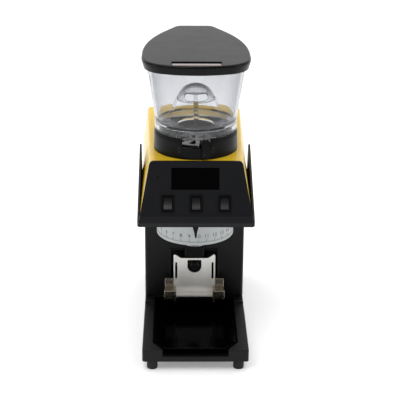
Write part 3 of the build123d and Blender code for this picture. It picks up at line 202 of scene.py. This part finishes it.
def make_materials():
    """Every finish of the grinder, by its slot in the record."""
    tones = bpy.context.scene.grinder_finishes
    made = {
        # Powder-coated sheet steel: fine orange peel that breaks up its dull shine.
        "black_paint": finish("powder_coated_black_steel", "#0A0B0D", 0.42, 0.7, 0.015,
                              spread=0.05, Specular_IOR_Level=0.22),
        # Wet-sprayed gloss enamel under a clear coat: almost smooth, with a slow ripple.
        "yellow_paint": finish("yellow_gloss_enamel", tones.paint_code(), 0.32, 2.6, 0.008,
                               spread=0.03, tone=0.015, Coat_Weight=0.3, Coat_Roughness=0.12),
        # Moulded ABS with a spark-eroded satin texture.
        "panel_black": finish("satin_moulded_abs", "#0C0D11", 0.40, 0.5, 0.008,
                              spread=0.04, Specular_IOR_Level=0.22),
        "black_plastic": finish("satin_black_abs", "#050506", 0.36, 0.5, 0.008,
                                spread=0.05, Specular_IOR_Level=0.12),
        "lid_plastic": finish("lid_satin_abs", "#050506", 0.28, 0.55, 0.004,
                              spread=0.03, Specular_IOR_Level=0.15),
        # Polished ABS with faint moulding ripple, its shine kept low as the surround is bright.
        "tray_gloss": finish("polished_black_abs", "#020203", 0.12, 3.0, 0.004,
                             spread=0.03, IOR=1.12, Specular_IOR_Level=0.3),
        # Polycarbonate switch caps: a tight highlight along the rocker's curve.
        "rocker_plastic": finish("switch_cap_polycarbonate", "#0A0B0D", 0.24, 0.8, 0.006,
                                 spread=0.04),
        # Smoked acrylic: flat, smooth and nearly black.
        "display_glass": finish("smoked_acrylic_window", "#010102", 0.08, 4.0, 0.0,
                                spread=0.02, Specular_IOR_Level=0.05),
        # Vulcanised rubber: dull, with a dusty bloom.
        "rubber": finish("black_rubber", "#161616", 0.78, 0.6, 0.05, spread=0.08, tone=0.14),
        # Zinc-plated screws: bright with a slight cloud.
        "screw_steel": finish("zinc_plated_steel", "#A9AAAC", 0.30, 0.5, 0.01, Metallic=1.0),
        # Sheet stainless, brushed upright.
        "stainless": finish("brushed_stainless_sheet", "#FAF8F4", 0.40, 0.25, 0.001,
                            stretch=(1, 1, 0.03), tone=0.03, Metallic=1.0),
        # Bent stainless strip, brushed across.
        "prong_steel": finish("satin_stainless_prong", "#B8AE9E", 0.24, 0.3, 0.002,
                              stretch=(0.05, 1, 1), Metallic=1.0),
        # Dial brushed along its axis and clear anodised: fine upright streaks.
        "dial_aluminium": finish("turned_anodised_aluminium", "#A2A5A6", 0.42, 0.35, 0.003,
                                 stretch=(1, 1, 0.02), tone=0.12, Metallic=1.0),
        # Die-cast and milled aluminium: a soft, slightly pitted grey.
        "cast_aluminium": finish("machined_cast_aluminium", "#C2C4C6", 0.40, 0.9, 0.02,
                                 Metallic=1.0),
        # Hobbed, ground and turned steels: the finer the cut, the tighter the shine.
        "gear_steel": finish("hobbed_gear_steel", "#8F9194", 0.34, 0.4, 0.01, Metallic=1.0),
        "burr_steel": finish("ground_burr_steel", "#9C9DA0", 0.30, 0.3, 0.008, Metallic=1.0),
        "bearing_steel": finish("ground_bearing_steel", "#B9BABD", 0.16, 0.4, 0.002,
                                lathe=BURR_AXIS, Metallic=1.0),
        # Phosphated motor can: dull grey.
        "motor_steel": finish("zinc_phosphated_motor_can", "#6A6C70", 0.45, 0.8, 0.015,
                              Metallic=1.0),
        # Glass-fibre board under solder mask, with the weave just showing.
        "circuit_board": finish("green_solder_mask", "#17502C", 0.36, 0.8, 0.02, tone=0.2),
        # Bright metal strip, brushed along its length.
        "badge_metal": finish("bright_trim_strip", "#B9A6A4", 0.20, 0.3, 0.003,
                              stretch=(0.04, 1, 1), Metallic=1.0),
        # Clear styrene-acrylonitrile: grey along its edges, with slow moulding ripple.
        "clear_plastic": finish("clear_moulded_san", "#ECEDEF", 0.03, 9.0, 0.05,
                                spread=0.015, tone=0.008, Transmission_Weight=1.0, IOR=1.45),
    }
    darken_edges(made["clear_plastic"], "#7C7F88")
    made["print_black"] = finish("black_pad_print", "#141414", 0.55, 0.3, 0.0)
    return made


MATERIALS = {}


# ---------------------------------------------------------------------------
# Mesh work
# ---------------------------------------------------------------------------
def evaluated_mesh(piece):
    """The mesh of an object with its modifiers, as plain data."""
    graph = bpy.context.evaluated_depsgraph_get()
    return bpy.data.meshes.new_from_object(piece.evaluated_get(graph))


def apply_modifiers(piece):
    """Turns a piece's modifiers into plain mesh."""
    mesh = evaluated_mesh(piece)
    piece.modifiers.clear()
    old = piece.data
    piece.data = mesh
    bpy.data.meshes.remove(old)
    return piece


def smooth(piece, angle=35):
    """Smooth shading, kept sharp where faces meet at more than the angle."""
    piece.data.shade_smooth()
    piece.data.set_sharp_from_angle(angle=radians(angle))
    return piece


def new_piece(name, mesh, material):
    """A linked object for a mesh, with one material."""
    mesh.materials.clear()
    mesh.materials.append(material)
    piece = bpy.data.objects.new(name, mesh)
    bpy.context.scene.collection.objects.link(piece)
    return piece


def from_bmesh(name, work, material):
    """A piece from a bmesh, with its faces turned outwards."""
    bmesh.ops.recalc_face_normals(work, faces=work.faces)
    mesh = bpy.data.meshes.new(name)
    work.to_mesh(mesh)
    work.free()
    return new_piece(name, mesh, material)


def join_frame(piece, body, slot, *nodes):
    """Declares what a piece rides on and stands for; slot is not used."""
    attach(piece, body)
    if nodes:
        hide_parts(*nodes)
    return piece


def rounded(node, width_mm, segments=2, angle=30):
    """The skin of a CAD node with its edges rounded by width_mm, standing for the node."""
    source = frame["nodes"][node]
    work = bmesh.new()
    work.from_mesh(source.data)
    bmesh.ops.remove_doubles(work, verts=work.verts, dist=0.002 * MM)
    bmesh.ops.dissolve_degenerate(work, edges=work.edges, dist=0.001 * MM)
    bmesh.ops.dissolve_limit(work, angle_limit=radians(0.4), verts=work.verts, edges=work.edges)
    mesh = bpy.data.meshes.new(node + "_skin")
    work.to_mesh(mesh)
    work.free()
    piece = new_piece(node + "_skin", mesh, MATERIALS[SLOT_OF[node]])
    mesh.shade_smooth()
    bevel = piece.modifiers.new("edges", "BEVEL")
    bevel.width = width_mm * MM
    bevel.segments = segments
    bevel.limit_method = "ANGLE"
    bevel.angle_limit = radians(angle)
    bevel.use_clamp_overlap = True
    weights = piece.modifiers.new("flat_faces", "WEIGHTED_NORMAL")
    weights.mode = "FACE_AREA_WITH_ANGLE"
    weights.weight = 80
    apply_modifiers(piece)
    return join_frame(piece, BODY_OF[node], SLOT_OF[node], node)


def keep(*nodes):
    """CAD nodes that stay as they are, with their finish from the record's slot."""
    for node in nodes:
        for slot in frame["nodes"][node].material_slots:
            slot.material = MATERIALS[SLOT_OF[node]]


def grid_solid(name, rings, material):
    """A closed skin over rings of points that follow one another round a section."""
    work = bmesh.new()
    rows = [[work.verts.new(point) for point in ring] for ring in rings]
    for here, there in zip(rows, rows[1:] + rows[:1]):
        for step in range(len(here)):
            after = (step + 1) % len(here)
            work.faces.new((here[step], here[after], there[after], there[step]))
    return from_bmesh(name, work, material)


def wrapped(mesh, radius, bearing, height):
    """Bends a flat mesh round the burr axis: its x runs round, its y up, its z outward."""
    for vert in mesh.vertices:
        turn = radians(bearing) + vert.co.x / radius
        out = radius + vert.co.z
        vert.co = BURR_AXIS + Vector((out * sin(turn), -out * cos(turn), height + vert.co.y))


# ---------------------------------------------------------------------------
# Geometry Nodes: small blocks repeated round the burr axis
# ---------------------------------------------------------------------------
def ring_tree(name, material):
    """Tree that sets Count blocks at equal angles on a circle, from First by Step."""
    tree = bpy.data.node_groups.new(name, "GeometryNodeTree")
    sockets = {}
    for label, kind in (("Count", "NodeSocketInt"), ("First", "NodeSocketFloat"),
                        ("Step", "NodeSocketFloat"), ("Radius", "NodeSocketFloat"),
                        ("Height", "NodeSocketFloat"), ("Centre", "NodeSocketVector"),
                        ("Block", "NodeSocketVector")):
        sockets[label] = tree.interface.new_socket(label, in_out="INPUT", socket_type=kind)
    tree.interface.new_socket("Geometry", in_out="OUTPUT", socket_type="NodeSocketGeometry")
    given = add_node(tree, "NodeGroupInput").outputs
    index = add_node(tree, "GeometryNodeInputIndex").outputs[0]
    turn = maths(tree, "MULTIPLY_ADD", index, given["Step"], given["First"])
    x = maths(tree, "MULTIPLY", maths(tree, "SINE", turn), given["Radius"])
    back = maths(tree, "MULTIPLY", maths(tree, "COSINE", turn), given["Radius"])
    y = maths(tree, "MULTIPLY", back, -1.0)
    spot = add_node(tree, "ShaderNodeCombineXYZ", None, {0: x, 1: y, 2: given["Height"]}).outputs[0]
    place = add_node(tree, "ShaderNodeVectorMath", {"operation": "ADD"},
                     {0: spot, 1: given["Centre"]}).outputs[0]
    points = add_node(tree, "GeometryNodePoints", None,
                      {"Count": given["Count"], "Position": place}).outputs[0]
    block = add_node(tree, "GeometryNodeMeshCube", None, {"Size": given["Block"]}).outputs[0]
    aim = add_node(tree, "ShaderNodeCombineXYZ", None, {2: turn}).outputs[0]
    copies = add_node(tree, "GeometryNodeInstanceOnPoints", None,
                      {"Points": points, "Instance": block, "Rotation": aim}).outputs[0]
    solid = add_node(tree, "GeometryNodeRealizeInstances", None, {0: copies}).outputs[0]
    coated = add_node(tree, "GeometryNodeSetMaterial", None,
                      {0: solid, "Material": material}).outputs[0]
    add_node(tree, "NodeGroupOutput", None, {0: coated})
    return tree, {label: socket.identifier for label, socket in sockets.items()}


def ring_blocks(name, material, body, slot, **given):
    """A piece of blocks round the burr axis, from the tree above."""
    tree, keys = ring_tree(name + "_tree", material)
    piece = new_piece(name, bpy.data.meshes.new(name), material)
    modifier = piece.modifiers.new("ring", "NODES")
    modifier.node_group = tree
    for label, value in given.items():
        modifier[keys[label]] = value
    apply_modifiers(piece)
    piece.data.materials.clear()
    piece.data.materials.append(material)
    return join_frame(piece, body, slot)


# ---------------------------------------------------------------------------
# Settings
# ---------------------------------------------------------------------------
def length_prop(name, description, size_mm):
    """A length that a user may change, given in millimetres."""
    return FloatProperty(name=name, description=description, default=size_mm * MM, unit="LENGTH",
                         subtype="DISTANCE")


class GrinderFinishes(bpy.types.PropertyGroup):
    """Colours that a user would change"""

    paint: FloatVectorProperty(name="Hood paint", description="Enamel of the hood", subtype="COLOR",
                               default=(0.91, 0.75, 0.13), min=0, max=1)
    floor: FloatVectorProperty(name="Floor", description="Studio floor", subtype="COLOR",
                               default=(0.95, 0.95, 0.95), min=0, max=1)

    def paint_code(self):
        """The hood's paint as a hex code."""
        return "#" + "".join("%02X" % round(255 * part) for part in self.paint)


class GrinderSizes(bpy.types.PropertyGroup):
    """Sizes that a user would change"""

    numeral: length_prop("Numeral height", "Height of the figures round the dial", 4.6)
    numeral_count: IntProperty(name="Numerals", description="Figures round the dial", default=28,
                               min=2)
    lens: FloatProperty(name="Lens", description="Focal length of the camera in mm", default=101.87)


# ---------------------------------------------------------------------------
# Operators: one for each group of pieces
# ---------------------------------------------------------------------------
class GRINDER_OT_stage(bpy.types.Operator):
    """Floor, lights and camera"""

    bl_idname = "grinder.stage"
    bl_label = "Stage"

    def execute(self, context):
        scene = context.scene
        scene.view_settings.view_transform = "Standard"
        pitch, swing, roll = (radians(t) for t in (CAMERA_PITCH, CAMERA_SWING, CAMERA_ROLL))
        back = Vector((sin(swing) * cos(pitch), -cos(swing) * cos(pitch), sin(pitch)))
        right = (-back).cross(Vector((0, 0, 1))).normalized()
        up = right.cross(-back)
        level = right * cos(roll) + up * sin(roll)
        plumb = up * cos(roll) - right * sin(roll)
        lens = bpy.data.cameras.new("camera")
        lens.lens = scene.grinder_sizes.lens
        lens.sensor_width = 36
        camera = bpy.data.objects.new("camera", lens)
        turn = Matrix((level, plumb, back)).transposed().to_4x4()
        camera.matrix_world = Matrix.Translation(CAMERA_TARGET + back * CAMERA_DISTANCE) @ turn
        scene.collection.objects.link(camera)
        scene.camera = camera

        half = FLOOR_HALF
        mesh = bpy.data.meshes.new("floor")
        corners = [(-half, -half, 0), (half, -half, 0), (half, half, 0), (-half, half, 0)]
        mesh.from_pydata(corners, [], [(0, 1, 2, 3)])
        floor = new_piece("floor", mesh, self.floor_paint(scene.grinder_finishes.floor))

        world = bpy.data.worlds.new("studio")
        world.use_nodes = True
        self.surround(world.node_tree)
        scene.world = world
        aim = Vector((0, 0, 0.18))
        for name, place, size, power in (
            ("top_softbox", (0.0, 0.5, 1.9), (1.6, 1.2), 15),
            ("front_softbox", (-0.7, -1.1, 2.1), (1.0, 1.0), 10),
            ("left_strip", (-1.5, -0.5, 0.7), (0.4, 1.3), 3.5),
            ("right_strip", (1.5, -0.5, 0.7), (0.4, 1.3), 3.5),
        ):
            lamp = bpy.data.lights.new(name, "AREA")
            lamp.shape = "RECTANGLE"
            lamp.size, lamp.size_y = size
            lamp.energy = power
            holder = bpy.data.objects.new(name, lamp)
            holder.location = place
            holder.rotation_euler = (aim - Vector(place)).to_track_quat("-Z", "Y").to_euler()
            scene.collection.objects.link(holder)
        return {"FINISHED"}

    def surround(self, tree):
        """Surround that lights as white behind and grey in front, and looks white to the eye."""
        way = add_node(tree, "ShaderNodeTexCoord").outputs["Generated"]
        rise = add_node(tree, "ShaderNodeVectorMath", {"operation": "DOT_PRODUCT"},
                        {0: way, 1: (0, 0.75, 0.65)})
        level = add_node(tree, "ShaderNodeMapRange", {"interpolation_type": "SMOOTHSTEP"},
                         {0: rise.outputs["Value"], 1: -0.75, 2: 0.55, 3: 0.10, 4: 0.84})
        seen = add_node(tree, "ShaderNodeLightPath").outputs["Is Camera Ray"]
        strength = maths(tree, "MAXIMUM", level.outputs[0], seen)
        background = tree.nodes["Background"]
        background.inputs[0].default_value = (1, 1, 1, 1)
        tree.links.new(strength, background.inputs[1])

    def floor_paint(self, colour):
        """Matt paper floor with a faint grain."""
        code = "#" + "".join("%02X" % round(255 * part) for part in colour)
        paper = finish("matt_studio_paper", code, 0.85, 2.0, 0.0, tone=0.004)
        shader = paper.node_tree.nodes["Principled BSDF"]
        shader.inputs["Emission Color"].default_value = (1, 1, 1, 1)
        shader.inputs["Emission Strength"].default_value = FLOOR_GLOW
        return paper


class GRINDER_OT_case(bpy.types.Operator):
    """Base, feet, column, rear cover, deck and screws"""

    bl_idname = "grinder.case"
    bl_label = "Case"

    def execute(self, context):
        rounded("base_frame", 0.6, segments=3)
        rounded("rubber_feet", 0.5)
        rounded("column_shell", 0.5, segments=3)
        rounded("rear_cover", 0.3)
        rounded("case_screws", 0.15)
        rounded("power_inlet", 0.3)
        keep("deck_plate", "foot_screws")
        return {"FINISHED"}


class GRINDER_OT_hood(bpy.types.Operator):
    """Painted hood and the wing plates beside it"""

    bl_idname = "grinder.hood"
    bl_label = "Hood"

    def execute(self, context):
        rounded("hood_shell", 0.8, segments=3, angle=12)
        rounded("side_cheek_left", 0.5)
        rounded("side_cheek_right", 0.5)
        return {"FINISHED"}


class GRINDER_OT_panel(bpy.types.Operator):
    """Control panel with its window and rocker switches"""

    bl_idname = "grinder.panel"
    bl_label = "Control panel"

    def execute(self, context):
        rounded("control_panel", 0.8, segments=3)
        rounded("display_window", 0.15)
        for side in ("left", "middle", "right"):
            rounded("switch_housing_" + side, 0.25)
            rounded("switch_rocker_" + side, 0.3, segments=3)
        keep("display_module", "control_board")
        return {"FINISHED"}


class GRINDER_OT_tray(bpy.types.Operator):
    """Polished drip tray"""

    bl_idname = "grinder.tray"
    bl_label = "Drip tray"

    def execute(self, context):
        rounded("drip_tray", 1.0, segments=4, angle=14)
        return {"FINISHED"}


class GRINDER_OT_dial(bpy.types.Operator):
    """Grind dial with its figures and marks, its pointer and the outlet"""

    bl_idname = "grinder.dial"
    bl_label = "Grind dial"

    def execute(self, context):
        sizes = context.scene.grinder_sizes
        rounded("grind_dial", 0.5, segments=3)
        rounded("dial_pointer", 0.3)
        rounded("outlet_spout", 0.4)
        keep("dial_circlip", "adjusting_sleeve")
        low = Vector(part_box("grind_dial")[0])
        radius = reach("grind_dial").x / 2
        figure_z = low.z + FIGURE_RISE * MM
        pitch = 360 / sizes.numeral_count
        first = POINTER_FIGURE_BEARING - POINTER_FIGURE * pitch
        ink = MATERIALS["print_black"]
        work = bmesh.new()
        for number in range(sizes.numeral_count):
            mesh = self.figure(str(number), sizes.numeral)
            wrapped(mesh, radius + 0.03 * MM, first + number * pitch, figure_z)
            work.from_mesh(mesh)
            bpy.data.meshes.remove(mesh)
        mesh = bpy.data.meshes.new("dial_figures")
        work.to_mesh(mesh)
        work.free()
        join_frame(new_piece("dial_figures", mesh, ink), "dial", "black_plastic")
        step = radians(pitch)
        line_z = figure_z - LINE_DROP * MM
        line = self.band(radius - 0.01 * MM, line_z, line_z + 0.3 * MM)
        join_frame(line, "dial", "black_plastic")
        marks = {"Centre": BURR_AXIS, "Radius": radius + 0.02 * MM}
        ring_blocks("dial_ticks", ink, "dial", "black_plastic", Count=sizes.numeral_count,
                    First=radians(first), Step=step, Height=figure_z - TICK_DROP * MM,
                    Block=Vector((0.5, 0.1, 3.6)) * MM, **marks)
        ring_blocks("dial_fine_ticks", ink, "dial", "black_plastic", Count=sizes.numeral_count * FINE_TICKS,
                    First=radians(first), Step=step / FINE_TICKS, Height=figure_z - FINE_TICK_DROP * MM,
                    Block=Vector((0.25, 0.1, 1.2)) * MM, **marks)
        return {"FINISHED"}

    def band(self, radius, low, high):
        """Thin printed line round the dial."""
        count = 144
        rings = []
        raised = radius + INK * MM
        for out, height in ((radius, low), (raised, low), (raised, high), (radius, high)):
            turns = [2 * pi * step / count for step in range(count)]
            rings.append([BURR_AXIS + Vector((out * sin(t), -out * cos(t), height)) for t in turns])
        return grid_solid("dial_line", rings, MATERIALS["print_black"])

    def figure(self, text, height):
        """Flat figures, centred on the origin, with a thin raised edge."""
        curve = bpy.data.curves.new("figure", "FONT")
        curve.body = text
        curve.size = height * 1.35
        curve.align_x = "CENTER"
        curve.align_y = "CENTER"
        curve.extrude = 0.02 * MM
        curve.resolution_u = 3
        holder = bpy.data.objects.new("figure", curve)
        bpy.context.scene.collection.objects.link(holder)
        mesh = evaluated_mesh(holder)
        bpy.data.objects.remove(holder)
        bpy.data.curves.remove(curve)
        return mesh


class GRINDER_OT_collar(bpy.types.Operator):
    """Hopper collar, gate and lever"""

    bl_idname = "grinder.collar"
    bl_label = "Collar and gate"

    def execute(self, context):
        rounded("hopper_collar", 0.35, segments=3)
        rounded("gate_lever", 0.4, segments=3)
        keep("gate_seat", "gate_disc")
        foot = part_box("hopper_collar")[0][2]
        radius = reach("hopper_collar").x / 2
        for side, bearing in (("left", -LOCK_BEARING), ("right", LOCK_BEARING)):
            dot = self.disc(0.8, 0.0)
            wrapped(dot, radius - 0.3 * MM, bearing, foot + DOT_RISE * MM)
            self.mark("lock_dot_" + side, dot, "housing")
            ring = self.disc(1.7, 1.25)
            wrapped(ring, radius - 0.35 * MM, bearing, foot + RING_RISE * MM)
            self.mark("lock_ring_" + side, ring, "housing")
        arrow = self.disc(1.1, 0.0, 3)
        low = Vector(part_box("gate_lever")[0])
        across, ahead = middle("gate_lever").x, BURR_AXIS.y - low.y
        bearing = atan2(across, ahead)
        lever_radius = hypot(across, ahead)
        wrapped(arrow, lever_radius - 0.15 * MM, bearing * 180 / pi, low.z + 5.0 * MM)
        self.mark("lever_arrow", arrow, "gate")
        return {"FINISHED"}

    def mark(self, name, mesh, body):
        """A printed mark that rides on a body."""
        join_frame(new_piece(name, mesh, MATERIALS["print_black"]), body, "black_plastic")

    def disc(self, outer, inner, sides=24):
        """Small flat disc or ring on the origin, 0.4 mm thick, its radii in millimetres."""
        work = bmesh.new()
        turns = [2 * pi * step / sides for step in range(sides)]
        rims = []
        for radius in (outer, inner) if inner else (outer,):
            for rise in (0.4, -0.4):
                points = [Vector((radius * cos(t), radius * sin(t), rise)) for t in turns]
                rims.append([work.verts.new(point * MM) for point in points])
        pairs = [(0, 1), (1, 3), (3, 2), (2, 0)] if inner else [(0, 1)]
        for a, b in pairs:
            for step in range(sides):
                after = (step + 1) % sides
                work.faces.new((rims[a][step], rims[a][after], rims[b][after], rims[b][step]))
        if not inner:
            work.faces.new(rims[0])
            work.faces.new(rims[1])
        bmesh.ops.recalc_face_normals(work, faces=work.faces)
        mesh = bpy.data.meshes.new("disc")
        work.to_mesh(mesh)
        work.free()
        return mesh


def egg_outline(inset_mm, count):
    """Distances from the burr axis to the hopper's inset outline, at equal bearings."""
    start = Vector((0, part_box("hopper_lid")[0][1] / MM + inset_mm))
    points = [start]
    heading = 0.0
    for full_radius, sweep in OUTLINE:
        here = points[-1]
        if full_radius is None:
            points.append(here + Vector((cos(heading), sin(heading))) * sweep)
            continue
        radius = full_radius - inset_mm
        centre = here + Vector((-sin(heading), cos(heading))) * radius
        for step in range(1, ARC_STEPS + 1):
            turn = heading + radians(sweep) * step / ARC_STEPS
            points.append(centre + Vector((sin(turn), -cos(turn))) * radius)
        heading += radians(sweep)
    points.append(Vector((0, points[-1].y)))
    half = points + [Vector((-p.x, p.y)) for p in reversed(points[1:-1])]
    axis = Vector((0, BURR_AXIS.y / MM))
    found = []
    for step in range(count):
        turn = 2 * pi * step / count - pi / 2
        ray = Vector((cos(turn), sin(turn)))
        best = 0.0
        for a, b in zip(half, half[1:] + half[:1]):
            edge = b - a
            cross = ray.x * edge.y - ray.y * edge.x
            if abs(cross) < 1e-9:
                continue
            offset = a - axis
            along = (offset.x * edge.y - offset.y * edge.x) / cross
            share = (offset.x * ray.y - offset.y * ray.x) / cross
            if along > 0 and -1e-6 <= share <= 1 + 1e-6:
                best = max(best, along)
        found.append(best)
    return found


class GRINDER_OT_hopper(bpy.types.Operator):
    """Clear hopper with its neck and throat, and the finger guard"""

    bl_idname = "grinder.hopper"
    bl_label = "Hopper"

    def execute(self, context):
        count = 192
        wall = 2.5
        neck, body, throat = 44.9, 47.5, 21.0
        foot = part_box("hopper_bowl")[0][2] / MM
        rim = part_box("hopper_bowl")[1][2] / MM
        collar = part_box("hopper_collar")[1][2] / MM
        shoulder = collar + 13.0
        outer = egg_outline(6.0, count)
        inner = egg_outline(6.0 + wall, count)
        levels = [(neck, foot), (neck, collar + 0.1), (neck + 0.3, collar + 0.4),
                  (body - 0.6, collar + 0.4), (body, collar + 1.0), (body, shoulder)]
        rises = 14
        for step in range(1, rises + 1):
            share = step / rises
            height = shoulder + share * (rim - 0.8 - shoulder)
            levels.append(([body + share * (far - body) for far in outer], height))
        levels.append(([far - 0.6 for far in outer], rim))
        levels.append(([far + 0.6 for far in inner], rim))
        for step in range(rises, 0, -1):
            share = step / rises
            height = shoulder + share * (rim - 0.8 - shoulder)
            levels.append(([body - wall + share * (far - body + wall) for far in inner], height))
        levels += [(body - wall, shoulder), (body - wall - 0.9, shoulder - 1.8),
                   (body - wall - 3, shoulder - 2.4), (throat + 1.2, shoulder - 7.1),
                   (throat + 0.2, shoulder - 7.7), (throat, shoulder - 9), (throat, collar - 9.6),
                   (throat + 2.2, collar - 9.6), (throat + 2.2, shoulder - 10.4),
                   (neck - 3.4, shoulder - 4.8), (neck - 2.4, shoulder - 5.8), (neck - 2.4, foot)]
        rings = []
        for radius, height in levels:
            far = radius if isinstance(radius, list) else [radius] * count
            ring = []
            for step, out in enumerate(far):
                turn = 2 * pi * step / count - pi / 2
                ring.append(BURR_AXIS + Vector((out * cos(turn), out * sin(turn), height)) * MM)
            rings.append(ring)
        bowl = grid_solid("hopper_bowl_shell", rings, MATERIALS["clear_plastic"])
        cutter = self.wedge(neck + 1, 23.5, foot - 1, collar - 1.2)
        cut = bowl.modifiers.new("lever_window", "BOOLEAN")
        cut.object = cutter
        cut.solver = "EXACT"
        apply_modifiers(bowl)
        bpy.data.objects.remove(cutter)
        smooth(bowl, 32)
        join_frame(bowl, "hopper", "clear_plastic", "hopper_bowl")
        rounded("hopper_guard", 0.5, segments=3)
        return {"FINISHED"}

    def wedge(self, radius, half_angle, bottom, top):
        """Solid wedge in front of the burr axis, for the lever's window."""
        work = bmesh.new()
        corners = [(0, 0)]
        out = radius / cos(radians(half_angle))
        for turn in (-half_angle, half_angle):
            corners.append((out * sin(radians(turn)), -out * cos(radians(turn))))
        low = [work.verts.new(BURR_AXIS + Vector((x, y, bottom)) * MM) for x, y in corners]
        high = [work.verts.new(BURR_AXIS + Vector((x, y, top)) * MM) for x, y in corners]
        work.faces.new(low)
        work.faces.new(high)
        for step in range(3):
            after = (step + 1) % 3
            work.faces.new((low[step], low[after], high[after], high[step]))
        return from_bmesh("window_cutter", work, MATERIALS["clear_plastic"])


class GRINDER_OT_lid(bpy.types.Operator):
    """Satin lid with its trim strip"""

    bl_idname = "grinder.lid"
    bl_label = "Lid"

    def execute(self, context):
        rounded("hopper_lid", 0.5, segments=3, angle=40)
        rounded("lid_badge", 0.25)
        return {"FINISHED"}


class GRINDER_OT_fork(bpy.types.Operator):
    """Portafilter fork, its guide and the start button"""

    bl_idname = "grinder.fork"
    bl_label = "Portafilter fork"

    def execute(self, context):
        rounded("fork_plate", 0.3)
        rounded("fork_prong_left", 0.5, segments=3)
        rounded("fork_prong_right", 0.5, segments=3)
        rounded("bracket_guide", 0.4)
        rounded("start_button", 0.3)
        return {"FINISHED"}


class GRINDER_OT_works(bpy.types.Operator):
    """Gear train, motor, burrs, bearings and electrics inside the case"""

    bl_idname = "grinder.works"
    bl_label = "Works"

    def execute(self, context):
        keep("gearbox_case", "gearbox_cover", "gearbox_screws", "idler_pin", "idler_gear",
             "motor_pinion", "motor_shaft", "motor_case", "drive_gear", "gear_screws",
             "ring_burr_holder", "ring_burr", "rotor_bearing_lower", "rotor_bearing_upper",
             "burr_housing", "throat_cap", "cone_burr", "burr_nut", "micro_switch", "power_supply")
        return {"FINISHED"}


# ---------------------------------------------------------------------------
# Panel and registration
# ---------------------------------------------------------------------------
STEPS = ("grinder.stage", "grinder.case", "grinder.hood", "grinder.panel", "grinder.tray",
         "grinder.dial", "grinder.collar", "grinder.hopper", "grinder.lid", "grinder.fork",
         "grinder.works")


class GRINDER_PT_sidebar(bpy.types.Panel):
    """Lists the grinder's operators and settings"""

    bl_idname = "GRINDER_PT_sidebar"
    bl_label = "Burr coffee grinder"
    bl_space_type = "VIEW_3D"
    bl_region_type = "UI"
    bl_category = "Grinder"

    def draw(self, context):
        column = self.layout.column()
        for group in (context.scene.grinder_finishes, context.scene.grinder_sizes):
            for name in group.__annotations__:
                column.prop(group, name)
        for name in STEPS:
            column.operator(name)


CLASSES = (GrinderFinishes, GrinderSizes, GRINDER_OT_stage, GRINDER_OT_case, GRINDER_OT_hood,
           GRINDER_OT_panel, GRINDER_OT_tray, GRINDER_OT_dial, GRINDER_OT_collar,
           GRINDER_OT_hopper, GRINDER_OT_lid, GRINDER_OT_fork, GRINDER_OT_works,
           GRINDER_PT_sidebar)


def register():
    """Adds the classes and settings to Blender."""
    for kind in CLASSES:
        bpy.utils.register_class(kind)
    bpy.types.Scene.grinder_finishes = PointerProperty(type=GrinderFinishes)
    bpy.types.Scene.grinder_sizes = PointerProperty(type=GrinderSizes)


def unregister():
    """Takes them out again."""
    del bpy.types.Scene.grinder_sizes
    del bpy.types.Scene.grinder_finishes
    for kind in reversed(CLASSES):
        bpy.utils.unregister_class(kind)


def main():
    """Registers the add-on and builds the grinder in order."""
    register()
    MATERIALS.update(make_materials())
    for name in STEPS:
        group, _, operator = name.partition(".")
        getattr(getattr(bpy.ops, group), operator)()


if __name__ == "__main__":
    main()
